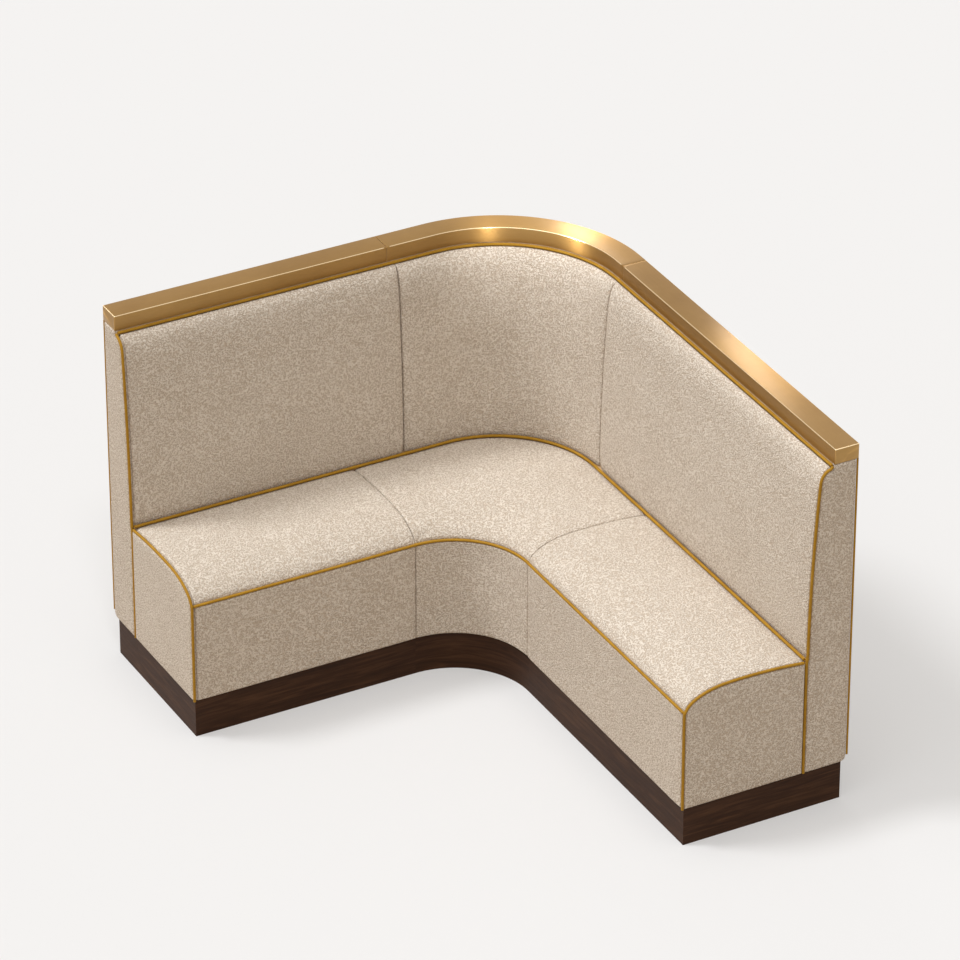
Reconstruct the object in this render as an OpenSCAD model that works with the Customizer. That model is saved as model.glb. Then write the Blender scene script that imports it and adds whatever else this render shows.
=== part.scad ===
// L-shaped corner banquette bench: three seat units and three back units on a
// recessed plinth, piped upholstery, and a brass cap rail along the back.
// Drawn with the outer back corner at zero. Along the left wing x grows from
// that corner and y is the depth, and along the right wing the two change
// places, so right-hand pieces are left-hand ones mirrored about the diagonal.

/* [Overall] */
// Length of the left wing, from the outer back corner
left_l = 1440; // [1300:10:2400]
// Length of the right wing, from the outer back corner
right_l = 1620; // [1300:10:2400]
// Overall height, to the top of the cap rail
overall_h = 1120; // [1000:5:1300]
// Depth from the back to the front of the seat
depth = 520; // [490:5:620]

/* [Corner] */
// Outer radius of the back's corner
corner_r = 450; // [400:5:455]
// Radius of the seat's inside front corner
front_r = 225; // [180:5:300]
// Back seam on the left wing, from the outer corner
back_seam_left = 580; // [500:5:700]
// Back seam on the right wing, from the outer corner
back_seam_right = 465; // [460:5:700]
// Cap rail joint on the left wing, from the outer corner
cap_joint_left = 600; // [500:5:700]
// Cap rail joint on the right wing, from the outer corner
cap_joint_right = 480; // [460:5:700]

/* [Seat] */
// Height of the seat where it meets the back
seat_back_h = 478; // [440:1:500]
// Fall of the seat from there to its front edge
seat_fall = 48; // [20:1:60]
// Width of the rounding in which the seat falls
nose_w = 170; // [100:5:250]
// Rise of the seat's crown
seat_crown = 12; // [0:1:16]
// Height of the seat's front edge above the deck
seat_foam = 42; // [30:1:70]
// Thickness of the seat deck
deck_t = 18; // [12:1:25]
// Thickness of the seat frame's rails and ribs
seat_rail_t = 22; // [18:1:30]
// Widest clear bay between seat ribs
seat_bay = 420; // [300:10:600]

/* [Back] */
// Thickness of the back where the seat meets it
back_t = 140; // [132:1:160]
// Thickness of the back just below its top roll
back_top_t = 118; // [112:1:126]
// Height of the top roll
roll_h = 46; // [30:1:60]
// Belly of the inside back
back_belly = 5; // [0:1:10]
// Thickness of the back's foam
back_foam = 44; // [35:1:46]
// Thickness of the board behind the foam
back_board_t = 9; // [6:1:12]
// Width of the frame's studs and rails
stud_w = 38; // [30:1:50]
// How far the studs in the curve stand in from the curved rails' faces
stud_set_in = 3; // [2:0.5:5]
// Widest clear bay between studs
back_bay = 380; // [300:10:600]
// Thickness of the covered outside back
outside_t = 8; // [6:1:10]

/* [Covered panels] */
// Thickness of the fascia and end panels
panel_t = 12; // [10:1:16]
// Radius of the end panels' lower back corner
panel_r = 20; // [5:1:25]
// Depth that a plain seam draws in
seam_in = 4; // [0:0.5:6]
// Width over which a seam draws the cover in
seam_w = 22; // [10:1:40]

/* [Piping] */
// Diameter of the piping
piping_d = 9; // [6:0.5:10]
// How far the edge piping stands out from an end
piping_out = 1.5; // [0.5:0.5:2.5]

/* [Cap rail] */
// Width of the cap rail
cap_w = 74; // [70:1:80]
// Height of the cap rail
cap_h = 46; // [35:1:60]
// Wall of the folded brass
cap_wall = 2; // [1.5:0.5:3]
// Length of the plate inside each cap joint
plate_l = 120; // [80:5:160]
// Thickness of that plate
plate_t = 3; // [2:0.5:4]
// Spacing of the screws that hold the cap's core
screw_pitch = 240; // [150:10:400]
// Diameter of those screws
screw_d = 5; // [4:0.5:6]
// Length of those screws
screw_l = 62; // [55:1:75]

/* [Plinth] */
// Height of the plinth
plinth_h = 120; // [80:5:150]
// Thickness of the plinth boards
plinth_t = 18; // [15:1:25]
// How far the plinth stands back at the front
plinth_front_in = 10; // [0:1:40]
// How far the plinth stands back at the wall
plinth_back_in = 18; // [10:1:40]
// How far the plinth stands back at the ends
plinth_end_in = 8; // [0:1:40]

/* [Bolts] */
// Diameter of the bolts that join the units
bolt_d = 8; // [6:1:10]
// Height of a bolt head or nut
nut_h = 6; // [5:0.5:8]
// Width of a bolt head or nut over its corners
nut_w = 15; // [12:0.5:18]

/* [Hidden] */
$fn = 48;

// One unit, so that small clearances scale with the part
unit = 1;
// Clearance between a soft piece and its neighbours
soft_gap = 0.3 * unit;
// Clearance round a fixing
fixing_gap = 0.3 * unit;
// Overrun of a cut
over = 1 * unit;

piping_r = piping_d / 2;
// How far the covered edges stay back to seat the piping
edge_in = piping_d - piping_out + soft_gap;
// Place of the piping's centre line, in from the two faces of its edge
piping_in = piping_r - piping_out;
// Height of the seat's front edge, and of the deck's top below it
seat_front_h = seat_back_h - seat_fall;
deck_h = seat_front_h - seat_foam;
// Underside of the cap rail
top_z = overall_h - cap_h;
// Distance of the seat seams from the outer corner, where the front curve ends
seat_seam = depth + front_r;
// Front face of the seat frame
frame_front = depth - panel_t;
// Front of the seat cushion's lip, behind the front piping
lip_s = depth - edge_in;
// Top of the fascia and lower edge of that lip
fascia_top = seat_front_h - edge_in;
// Top of the back frame's seat-level rail
back_ledge = seat_back_h - soft_gap;
// Depth of the board's front face at the seat and at the top
board_low = back_t - back_foam;
board_high = back_top_t - back_foam;
// Place of the piping under the cap rail
under_s = max(cap_w, board_high) + piping_r + soft_gap;
under_z = top_z - piping_r - soft_gap;
// Top of the back pad, below that piping
pad_top = under_z - piping_r - soft_gap;
// Reach of the whole part along the two wings, edge piping included
reach_left = left_l + piping_out;
reach_right = right_l + piping_out;

// Colours
fabric_c = [0.76, 0.70, 0.62];
piping_c = [0.70, 0.50, 0.12];
brass_c = [0.78, 0.62, 0.36];
walnut_c = [0.22, 0.14, 0.10];
timber_c = [0.80, 0.66, 0.46];
ply_c = [0.86, 0.75, 0.57];
steel_c = [0.66, 0.67, 0.69];

// Placing

// Puts the outer-corner frame into the part's own frame
module placed() {
  translate([reach_left / 2, reach_right / 2, 0]) rotate([0, 0, 180]) children();
}

// Swaps the wings, so a left-hand piece becomes a right-hand one
module to_right() {
  mirror([1, -1, 0]) children();
}

// Extrudes a section, drawn as depth and height, along the left wing
module left_run(from, to) {
  translate([from, 0, 0]) rotate([90, 0, 90]) linear_extrude(to - from) children();
}

// Extrudes a section along the right wing
module right_run(from, to) {
  to_right() left_run(from, to) children();
}

// Turns a section round a quarter circle whose centre is this far from both backs
module round_run(centre) {
  translate([centre, centre, 0]) rotate([0, 0, 180])
    rotate_extrude(angle = 90, $fn = 96) translate([centre, 0]) mirror([1, 0]) children();
}

// Carries a section round the back's corner between its two seams
module back_corner_run(left_end, right_end) {
  union() {
    left_run(corner_r, left_end) children();
    round_run(corner_r) children();
    right_run(corner_r, right_end) children();
  }
}

// Turns a left-wing piece at the corner's start to this angle round the corner
module around_corner(angle) {
  translate([corner_r, corner_r, 0]) rotate([0, 0, -angle]) translate([-corner_r, -corner_r, 0])
    children();
}

// A rectangle from one corner to the other
module span(low, high) {
  translate(low) square(high - low);
}

// Places of evenly spaced members of this width that leave bays no wider than asked
function member_places(from, to, width, bay) =
  let (count = ceil((to - from - width) / (bay + width)))
  [for (i = [0:count]) from + (to - from - width) * i / count];

// Shared outlines, drawn as depth and height

// Height of the seat's top at this depth
function seat_z(s) =
  let (share = (s - back_t) / (lip_s - back_t))
  let (past = max(0, (s - lip_s + nose_w) / nose_w))
  seat_back_h + seat_crown * 4 * share * (1 - share) - seat_fall * (1 - sqrt(max(0, 1 - past * past)));

// Depths at which the seat's top is drawn, closer together on the rounding
flat_steps = 7;
nose_steps = 7;
seat_depths = concat(
  [for (i = [0:flat_steps]) back_t + soft_gap + (lip_s - nose_w - back_t - soft_gap) * i / flat_steps],
  [for (i = [1:nose_steps]) lip_s - nose_w + nose_w * sin(90 * i / nose_steps)]
);

// The seat's top line, lowered by this much
function seat_line(drop) = [for (s = seat_depths) [s, seat_z(s) - drop]];

// Depth of the inside back at this height, without its roll
function rake(z) =
  let (share = (z - seat_back_h) / (pad_top - roll_h - seat_back_h))
  back_t + (back_top_t - back_t) * share + back_belly * 4 * share * (1 - share);

// The inside back's line from the seat to the top, drawn in by this much
rake_steps = 8;
roll_steps = 7;
roll_w = back_top_t - under_s - piping_r;
function face_line(draw) = concat(
  [for (i = [0:rake_steps])
    let (z = seat_back_h + soft_gap + (pad_top - roll_h - seat_back_h - soft_gap) * i / rake_steps)
    [rake(z) - draw - soft_gap, z]],
  [for (i = [1:roll_steps])
    [back_top_t - draw - soft_gap - (roll_w - draw) * (1 - cos(90 * i / roll_steps)),
     pad_top - roll_h + roll_h * sin(90 * i / roll_steps)]]
);

// The inside back's line with this much taken off square to it
function face_inset(cut) = concat(
  [for (i = [0:rake_steps]) face_line(0)[i] - [cut, 0]],
  [for (i = [1:roll_steps])
    let (a = 90 * i / roll_steps)
    face_line(0)[rake_steps + i] - cut * [cos(a), sin(a)]]
);

// Depth of the board's front face at this height
function board_s(z) = board_low + (board_high - board_low) * (z - back_ledge) / (top_z - back_ledge);

// Outline of the back pad, drawn in by this much
function pad_outline(draw) = concat(
  face_line(draw),
  [[board_s(pad_top) + soft_gap, pad_top], [board_s(seat_back_h) + soft_gap, seat_back_h + soft_gap]]
);

// Outline of the seat cushion, its top lowered by this much
function cushion_outline(drop) = concat(
  [[back_t + soft_gap, deck_h + soft_gap], [back_t + soft_gap, seat_z(back_t + soft_gap) - drop]],
  [for (i = [1:len(seat_depths) - 1]) seat_line(drop)[i]],
  [[lip_s, fascia_top + soft_gap], [frame_front - soft_gap, fascia_top + soft_gap],
   [frame_front - soft_gap, deck_h + soft_gap]]
);

// Outline of a stud of the back frame, its front and rear faces set in by this much
module stud_outline(set_in = 0) {
  rear = outside_t + set_in;
  low = board_s(back_ledge) - back_board_t - set_in;
  high = board_s(top_z) - back_board_t - set_in;
  polygon([
    [rear, plinth_h], [back_t - set_in, plinth_h], [back_t - set_in, back_ledge],
    [low, back_ledge], [high, top_z], [rear, top_z]
  ]);
}

// The part of that outline in a level band
module stud_band(low, high) {
  intersection() {
    stud_outline();
    span([0, low], [back_t + over, high]);
  }
}

// Outline of the upholstered end of the back, its edges in for the piping
module back_end_outline() {
  rear = piping_d + soft_gap;
  front = back_t - piping_r - soft_gap;
  neck = under_s - piping_r - soft_gap;
  difference() {
    polygon(concat(
      [[rear, plinth_h], [front, plinth_h], [front, seat_back_h - piping_d]], face_inset(edge_in),
      [[neck, pad_top - edge_in], [neck, top_z], [rear, top_z]]
    ));
    difference() {
      span([rear - over, plinth_h - over], [rear + panel_r, plinth_h + panel_r]);
      translate([rear + panel_r, plinth_h + panel_r]) circle(panel_r);
    }
  }
}

// Outline of the upholstered end of the seat
module seat_end_outline() {
  start = back_t + piping_r + soft_gap;
  polygon(concat(
    [[start, plinth_h], [start, seat_z(start) - edge_in]],
    [for (p = seat_line(edge_in)) if (p[0] > start + edge_in && p[0] < lip_s - edge_in) p],
    [[lip_s - edge_in / 2, seat_front_h - edge_in], [lip_s, fascia_top - edge_in], [lip_s, plinth_h]]
  ));
}

// Lofts

// Skins rings of equal length into one closed solid
module loft(rings) {
  n = len(rings[0]);
  last = len(rings) - 1;
  polyhedron(
    points = [for (ring = rings) each ring],
    faces = concat(
      [[for (i = [0:n - 1]) i]],
      [for (k = [0:last - 1]) for (i = [0:n - 1])
        [k * n + i, (k + 1) * n + i, (k + 1) * n + (i + 1) % n]],
      [for (k = [0:last - 1]) for (i = [0:n - 1])
        [k * n + i, (k + 1) * n + (i + 1) % n, k * n + (i + 1) % n]],
      [[for (i = [0:n - 1]) last * n + n - 1 - i]]
    )
  );
}

// How far a cover is drawn in at this distance from a seam
function drawn_in(distance) =
  let (share = min(1, distance / seam_w))
  seam_in * (1 - sqrt(max(0, 1 - (1 - share) * (1 - share))));

// Places along a straight cover, close together near its two ends
end_shares = [0, 0.12, 0.35, 0.7, 1];
function cover_places(from, to) = concat(
  [for (share = end_shares) from + seam_w * share],
  [for (i = [len(end_shares) - 1:-1:0]) to - seam_w * end_shares[i]]
);

// A straight cover along the left wing, with its outline a function of the draw
module straight_cushion(from, to) {
  loft([for (u = cover_places(from, to))
    let (draw = drawn_in(min(u - from, to - u)))
    [for (p = cushion_outline(draw)) [u, p[0], p[1]]]]);
}
module straight_pad(from, to) {
  loft([for (u = cover_places(from, to))
    let (draw = drawn_in(min(u - from, to - u)))
    [for (p = pad_outline(draw)) [u, p[0], p[1]]]]);
}

// The outside back line near the corner, as [place, inward direction] at this run.
// The run is zero at the corner's start on the left wing and grows to the right.
corner_arc = PI / 2 * corner_r;
function back_frame_at(run) =
  run <= 0 ? [[corner_r - run, 0], [0, 1]]
  : run >= corner_arc ? [[0, corner_r + run - corner_arc], [1, 0]]
  : let (a = 90 * run / corner_arc)
    [[corner_r - corner_r * sin(a), corner_r - corner_r * cos(a)], [sin(a), cos(a)]];

// The seat's rear edge and front edge round the corner at this share of the way
seat_back_r = corner_r - back_t;
seat_straight = seat_seam - corner_r;
function seat_rear_at(share) =
  let (run = share * (2 * seat_straight + PI / 2 * seat_back_r) - seat_straight)
  run <= 0 ? [corner_r - run, back_t]
  : run >= PI / 2 * seat_back_r ? [back_t, corner_r + run - PI / 2 * seat_back_r]
  : let (a = 90 * run / (PI / 2 * seat_back_r))
    [corner_r - seat_back_r * sin(a), corner_r - seat_back_r * cos(a)];
function seat_front_at(share) =
  [seat_seam - front_r * sin(90 * share), seat_seam - front_r * cos(90 * share)];

// Shares of the way round the corner at which the seat cushion is drawn
turn_steps = 20;
seat_turn_shares = concat([0, 0.004, 0.012, 0.024], [for (i = [1:turn_steps - 1]) i / turn_steps],
  [0.976, 0.988, 0.996, 1]);

module corner_cushion() {
  way = 2 * seat_straight + PI / 2 * seat_back_r;
  loft([for (share = seat_turn_shares)
    let (rear = seat_rear_at(share))
    let (front = seat_front_at(share))
    let (draw = drawn_in(min(share, 1 - share) * way))
    [for (p = cushion_outline(draw))
      let (across = (p[0] - back_t) / (depth - back_t))
      let (at = rear + (front - rear) * across)
      [min(at[0], seat_seam - soft_gap), min(at[1], seat_seam - soft_gap), p[1]]]]);
}

// Width over which the cover is drawn in at the right seam, just past the curve
short_seam_w = seam_w / 3;
// Runs round the corner at which the back pad is drawn
pad_runs = concat(
  [for (share = end_shares) corner_r - back_seam_left + soft_gap + seam_w * share],
  [for (i = [0:turn_steps]) if (i > 0) corner_arc * i / turn_steps - (i == turn_steps ? seam_w / 2 : 0)],
  [for (i = [len(end_shares) - 1:-1:0])
    corner_arc + back_seam_right - corner_r - soft_gap - short_seam_w * end_shares[i]]
);

module corner_pad() {
  first = pad_runs[0];
  final = pad_runs[len(pad_runs) - 1];
  loft([for (run = pad_runs)
    let (at = back_frame_at(run))
    let (draw = drawn_in(min(run - first, final - run)))
    [for (p = pad_outline(draw)) [at[0][0] + at[1][0] * p[0], at[0][1] + at[1][1] * p[0], p[1]]]]);
}

// A round cord along points that lie in one plane, given the plane's normal
cord_sides = 8;
module cord_along(points, normal) {
  last = len(points) - 1;
  loft([for (i = [0:last])
    let (ahead = points[min(last, i + 1)] - points[i])
    let (behind = points[i] - points[max(0, i - 1)])
    let (way = (i < last ? ahead / norm(ahead) : [0, 0, 0]) + (i > 0 ? behind / norm(behind) : [0, 0, 0]))
    let (side = cross(normal, way / norm(way)))
    [for (k = [0:cord_sides - 1])
      points[i] + piping_r * (cos(360 * k / cord_sides) * side + sin(360 * k / cord_sides) * normal)]]);
}

// Points of a level line at this depth along both wings, with its corner turned about
// a centre this far from both backs
function level_line(s, centre, z, left_end, right_end) = concat(
  [[left_end, s, z]],
  [for (i = [0:turn_steps])
    let (a = 90 * i / turn_steps)
    [centre - (centre - s) * sin(a), centre - (centre - s) * cos(a), z]],
  [[s, right_end, z]]
);

// Plinth

plinth_front = depth - plinth_front_in;

// A board of the plinth drawn in plan
module plinth_board() {
  color(walnut_c) linear_extrude(plinth_h) children();
}

module plinth_front_straight(length) {
  end = length - plinth_end_in;
  plinth_board() polygon([
    [seat_seam, plinth_front], [end, plinth_front],
    [end - plinth_t, plinth_front - plinth_t], [seat_seam, plinth_front - plinth_t]
  ]);
}

module plinth_front_corner() {
  color(walnut_c) placed() round_run(seat_seam) span([plinth_front - plinth_t, 0], [plinth_front, plinth_h]);
}

module plinth_back_straight(length) {
  end = length - plinth_end_in;
  plinth_board() polygon([
    [corner_r, plinth_back_in], [end, plinth_back_in],
    [end - plinth_t, plinth_back_in + plinth_t], [corner_r, plinth_back_in + plinth_t]
  ]);
}

module plinth_back_corner() {
  color(walnut_c) placed() round_run(corner_r) span([plinth_back_in, 0], [plinth_back_in + plinth_t, plinth_h]);
}

module plinth_end(length) {
  end = length - plinth_end_in;
  plinth_board() polygon([
    [end, plinth_back_in], [end, plinth_front],
    [end - plinth_t, plinth_front - plinth_t], [end - plinth_t, plinth_back_in + plinth_t]
  ]);
}

// Cross rails between the front and back boards of one wing
module plinth_cross_straight(length) {
  end = length - plinth_end_in - plinth_t;
  places = member_places(seat_seam, end, plinth_t, seat_bay);
  for (i = [0:len(places) - 2])
    left_run(places[i], places[i] + plinth_t)
      span([plinth_back_in + plinth_t, 0], [plinth_front - plinth_t, plinth_h]);
}

// The cross rail on the corner's diagonal
module plinth_cross_diagonal() {
  low = corner_r * sqrt(2) - (corner_r - plinth_back_in - plinth_t) + soft_gap;
  high = seat_seam * sqrt(2) - (seat_seam - plinth_front + plinth_t) - soft_gap;
  rotate([0, 0, 45]) translate([low, -plinth_t / 2, 0]) cube([high - low, plinth_t, plinth_h]);
}

module plinth_cross_rails() {
  color(timber_c) placed() {
    plinth_cross_straight(left_l);
    to_right() plinth_cross_straight(right_l);
    plinth_cross_diagonal();
  }
}

// Seat units

// Heights at which bolts join the seat frames, as shares of the frame's height
seat_bolt_shares = [0.3, 0.7];
function seat_bolt_z(share) = plinth_h + (deck_h - deck_t - plinth_h) * share;
seat_bolt_s = (back_t + frame_front) / 2;

// Holes for the bolts through the ribs at a seat seam
module seat_bolt_holes() {
  for (share = seat_bolt_shares)
    translate([seat_seam - seat_rail_t - over, seat_bolt_s, seat_bolt_z(share)]) rotate([0, 90, 0])
      cylinder(h = 2 * seat_rail_t + 2 * over, d = bolt_d + 2 * fixing_gap);
}

module seat_frame_straight(length) {
  low = plinth_h;
  high = deck_h - deck_t;
  end = length - panel_t;
  color(timber_c) difference() {
    union() {
      left_run(seat_seam, end) span([frame_front - seat_rail_t, low], [frame_front, high]);
      left_run(seat_seam, end) span([back_t, low], [back_t + seat_rail_t, high]);
      for (u = member_places(seat_seam, end, seat_rail_t, seat_bay))
        left_run(u, u + seat_rail_t) span([back_t, low], [frame_front, high]);
    }
    seat_bolt_holes();
  }
}

// Plan of the corner seat unit between two depths
module corner_plan(rear, front) {
  difference() {
    union() {
      intersection() {
        span([rear, rear], [corner_r, corner_r]);
        translate([corner_r, corner_r]) circle(corner_r - rear, $fn = 96);
      }
      span([corner_r, rear], [seat_seam, seat_seam]);
      span([rear, corner_r], [seat_seam, seat_seam]);
    }
    translate([seat_seam, seat_seam]) circle(seat_seam - front, $fn = 96);
  }
}

module seat_frame_corner() {
  low = plinth_h;
  high = deck_h - deck_t;
  color(timber_c) placed() difference() {
    union() {
      round_run(seat_seam) span([frame_front - seat_rail_t, low], [frame_front, high]);
      back_corner_run(seat_seam, seat_seam) span([back_t, low], [back_t + seat_rail_t, high]);
      left_run(seat_seam - seat_rail_t, seat_seam) span([back_t, low], [frame_front, high]);
      right_run(seat_seam - seat_rail_t, seat_seam) span([back_t, low], [frame_front, high]);
      translate([0, 0, low]) linear_extrude(high - low) intersection() {
        corner_plan(back_t, frame_front);
        rotate([0, 0, 45]) translate([0, -seat_rail_t / 2]) square([2 * seat_seam, seat_rail_t]);
      }
    }
    seat_bolt_holes();
    to_right() seat_bolt_holes();
  }
}

module seat_deck_straight(length) {
  color(ply_c) left_run(seat_seam, length - panel_t) span([back_t, deck_h - deck_t], [frame_front, deck_h]);
}

module seat_deck_corner() {
  color(ply_c) placed() translate([0, 0, deck_h - deck_t]) linear_extrude(deck_t)
    corner_plan(back_t, frame_front);
}

module seat_cushion_straight(length) {
  color(fabric_c) straight_cushion(seat_seam + soft_gap, length - panel_t - soft_gap);
}

module seat_cushion_corner() {
  color(fabric_c) placed() corner_cushion();
}

module fascia_section() {
  span([frame_front, plinth_h], [depth, fascia_top]);
}

module fascia_straight(length) {
  color(fabric_c) left_run(seat_seam + soft_gap, length - panel_t - soft_gap) fascia_section();
}

module fascia_corner() {
  color(fabric_c) placed() round_run(seat_seam) fascia_section();
}

module seat_end(length) {
  color(fabric_c) left_run(length - panel_t, length) seat_end_outline();
}

// Back units

// Heights at which bolts join the back frames, as shares of the overall height
back_bolt_shares = [0.2, 0.78];
back_bolt_s = (outside_t + board_high - back_board_t) / 2;

// Holes for the bolts through the studs at a back seam
module back_bolt_holes(seam) {
  for (share = back_bolt_shares)
    translate([seam - stud_w - over, back_bolt_s, overall_h * share]) rotate([0, 90, 0])
      cylinder(h = 2 * stud_w + 2 * over, d = bolt_d + 2 * fixing_gap);
}

// Level rails of the back frame: [bottom, top] of each
back_rails = [
  [plinth_h, plinth_h + stud_w],
  [back_ledge - stud_w, back_ledge],
  [(back_ledge + top_z - stud_w) / 2, (back_ledge + top_z + stud_w) / 2],
  [top_z - stud_w, top_z]
];

// Places of the cap screws along a straight wing
function screw_places(joint, length) =
  let (first = joint + plate_l)
  let (count = floor((length - 2 * stud_w - first) / screw_pitch))
  [for (i = [0:count]) first + (length - 2 * stud_w - first) * i / count];
screw_s = (outside_t + board_high - back_board_t) / 2;
// Angles of the studs and of the cap screws round the corner
stud_angles = [30, 60];
screw_angles = [15, 45, 75];
// Top of the cap's core, under the brass
core_top = overall_h - cap_wall;
// Height of a countersunk screw head, as a share of the screw's diameter
head_share = 0.6;
head_h = screw_d * head_share;

// Pilot holes for the cap screws of a straight wing
module pilot_holes(places) {
  for (u = places) translate([u, screw_s, core_top - screw_l - over])
    cylinder(h = screw_l, d = screw_d + 2 * fixing_gap);
}

module back_frame_straight(length, seam, joint) {
  end = length - panel_t;
  color(timber_c) difference() {
    union() {
      for (band = back_rails) left_run(seam, end) stud_band(band[0], band[1]);
      for (u = member_places(seam, end, stud_w, back_bay)) left_run(u, u + stud_w) stud_outline();
    }
    back_bolt_holes(seam);
    pilot_holes(screw_places(joint, length));
  }
}

module back_frame_corner() {
  color(timber_c) placed() difference() {
    union() {
      for (band = back_rails)
        back_corner_run(back_seam_left, back_seam_right) stud_band(band[0], band[1]);
      left_run(back_seam_left - stud_w, back_seam_left) stud_outline();
      right_run(back_seam_right - stud_w, back_seam_right) stud_outline();
      for (angle = stud_angles)
        around_corner(angle) left_run(corner_r - stud_w / 2, corner_r + stud_w / 2)
          stud_outline(stud_set_in);
    }
    back_bolt_holes(back_seam_left);
    to_right() back_bolt_holes(back_seam_right);
    for (angle = screw_angles) around_corner(angle) pilot_holes([corner_r]);
  }
}

module board_section() {
  polygon([
    [board_s(back_ledge) - back_board_t, back_ledge], [board_s(back_ledge), back_ledge],
    [board_s(top_z), top_z], [board_s(top_z) - back_board_t, top_z]
  ]);
}

module back_board_straight(length, seam) {
  color(ply_c) left_run(seam, length - panel_t) board_section();
}

module back_board_corner() {
  color(ply_c) placed() back_corner_run(back_seam_left, back_seam_right) board_section();
}

module back_pad_straight(length, seam) {
  color(fabric_c) straight_pad(seam + soft_gap, length - panel_t - soft_gap);
}

module back_pad_corner() {
  color(fabric_c) placed() corner_pad();
}

module outside_section() {
  span([0, plinth_h], [outside_t, top_z]);
}

module outside_back_straight(length, seam) {
  color(fabric_c) left_run(seam, length - panel_t - soft_gap) outside_section();
}

module outside_back_corner() {
  color(fabric_c) placed() back_corner_run(back_seam_left, back_seam_right) outside_section();
}

module back_end(length) {
  color(fabric_c) left_run(length - panel_t, length) back_end_outline();
}

// Cap rail

module core_section() {
  span([cap_wall, top_z], [cap_w - cap_wall, core_top]);
}

// Clearance holes for the cap screws, sunk for their heads
module core_holes(places) {
  for (u = places) translate([u, screw_s, 0]) {
    translate([0, 0, top_z - over]) cylinder(h = cap_h + over, d = screw_d + 2 * fixing_gap);
    translate([0, 0, core_top - head_h - fixing_gap]) cylinder(h = head_h + over, d = 2 * screw_d + 2 * fixing_gap);
  }
}

// Distance of a joint plate from each side of the rail
plate_in = cap_w / 4;

// The rebate in the core's top for a joint plate
module plate_rebate(joint) {
  left_run(joint - plate_l / 2 - fixing_gap, joint + plate_l / 2 + fixing_gap)
    span([plate_in - fixing_gap, core_top - plate_t], [cap_w - plate_in + fixing_gap, core_top + over]);
}

module cap_core_straight(length, joint) {
  color(timber_c) difference() {
    left_run(joint, length - cap_wall) core_section();
    core_holes(screw_places(joint, length));
    plate_rebate(joint);
  }
}

module cap_core_corner() {
  color(timber_c) placed() difference() {
    back_corner_run(cap_joint_left, cap_joint_right) core_section();
    for (angle = screw_angles) around_corner(angle) core_holes([corner_r]);
    plate_rebate(cap_joint_left);
    to_right() plate_rebate(cap_joint_right);
  }
}

// The folded brass, open below
module cap_section() {
  difference() {
    span([0, top_z], [cap_w, overall_h]);
    span([cap_wall, top_z - over], [cap_w - cap_wall, core_top]);
  }
}

module cap_rail_straight(length, joint) {
  color(brass_c) union() {
    left_run(joint, length) cap_section();
    left_run(length - cap_wall, length) span([0, top_z], [cap_w, overall_h]);
  }
}

module cap_rail_corner() {
  color(brass_c) placed() back_corner_run(cap_joint_left, cap_joint_right) cap_section();
}

// A plate let into the core across a joint of the brass
module joint_plate(joint) {
  left_run(joint - plate_l / 2, joint + plate_l / 2)
    span([plate_in, core_top - plate_t], [cap_w - plate_in, core_top]);
}

module cap_joint_plates() {
  color(brass_c) placed() {
    joint_plate(cap_joint_left);
    to_right() joint_plate(cap_joint_right);
  }
}

module cap_screw() {
  translate([0, 0, core_top - screw_l]) cylinder(h = screw_l - head_h, d = screw_d);
  translate([0, 0, core_top - head_h]) cylinder(h = head_h, d1 = screw_d, d2 = 2 * screw_d);
}

module cap_screws() {
  color(steel_c) placed() {
    for (u = screw_places(cap_joint_left, left_l)) translate([u, screw_s, 0]) cap_screw();
    to_right() for (u = screw_places(cap_joint_right, right_l)) translate([u, screw_s, 0]) cap_screw();
    for (angle = screw_angles) around_corner(angle) translate([corner_r, screw_s, 0]) cap_screw();
  }
}

// Piping

module piping_under_rail() {
  color(piping_c) placed()
    cord_along(level_line(under_s, corner_r, under_z, left_l - edge_in, right_l - edge_in), [0, 0, 1]);
}

seat_back_pipe_s = back_t + piping_r + soft_gap;
seat_back_pipe_z = seat_z(back_t + piping_d) + piping_r + soft_gap;

module piping_seat_back() {
  color(piping_c) placed()
    cord_along(level_line(seat_back_pipe_s, corner_r, seat_back_pipe_z, left_l - edge_in, right_l - edge_in),
      [0, 0, 1]);
}

module piping_seat_front() {
  s = depth - piping_in;
  z = seat_front_h - piping_in;
  color(piping_c) placed()
    cord_along(level_line(s, seat_seam, z, left_l - edge_in, right_l - edge_in), [0, 0, 1]);
}

// Down the edge of the inside back and on to the plinth
module piping_back_edge(length) {
  u = length - piping_in;
  face = face_inset(piping_in);
  color(piping_c) cord_along(concat(
    [[u, back_t, plinth_h], [u, back_t, seat_back_h - piping_d]],
    [for (i = [1:len(face) - 1]) [u, face[i][0], face[i][1]]],
    [[u, under_s, under_z]]
  ), [1, 0, 0]);
}

// Over the end of the seat and down its front corner
module piping_seat_edge(length) {
  u = length - piping_in;
  color(piping_c) cord_along(concat(
    [for (p = seat_line(piping_in)) if (p[0] > back_t + 2 * piping_d && p[0] < lip_s) [u, p[0], p[1]]],
    [[u, depth - piping_in - piping_r / 2, seat_front_h], [u, depth - piping_in, fascia_top],
     [u, depth - piping_in, plinth_h]]
  ), [1, 0, 0]);
}

// Down the outer rear edge, above the rounded lower corner
module piping_rear_edge(length) {
  u = length - piping_in;
  color(piping_c) cord_along([[u, piping_r, plinth_h + panel_r], [u, piping_r, top_z]], [1, 0, 0]);
}

// Bolts that join the units

module joining_bolt(grip) {
  translate([0, 0, -nut_h]) cylinder(h = nut_h, d = nut_w, $fn = 6);
  cylinder(h = grip + nut_h * 3 / 2, d = bolt_d);
}

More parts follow.
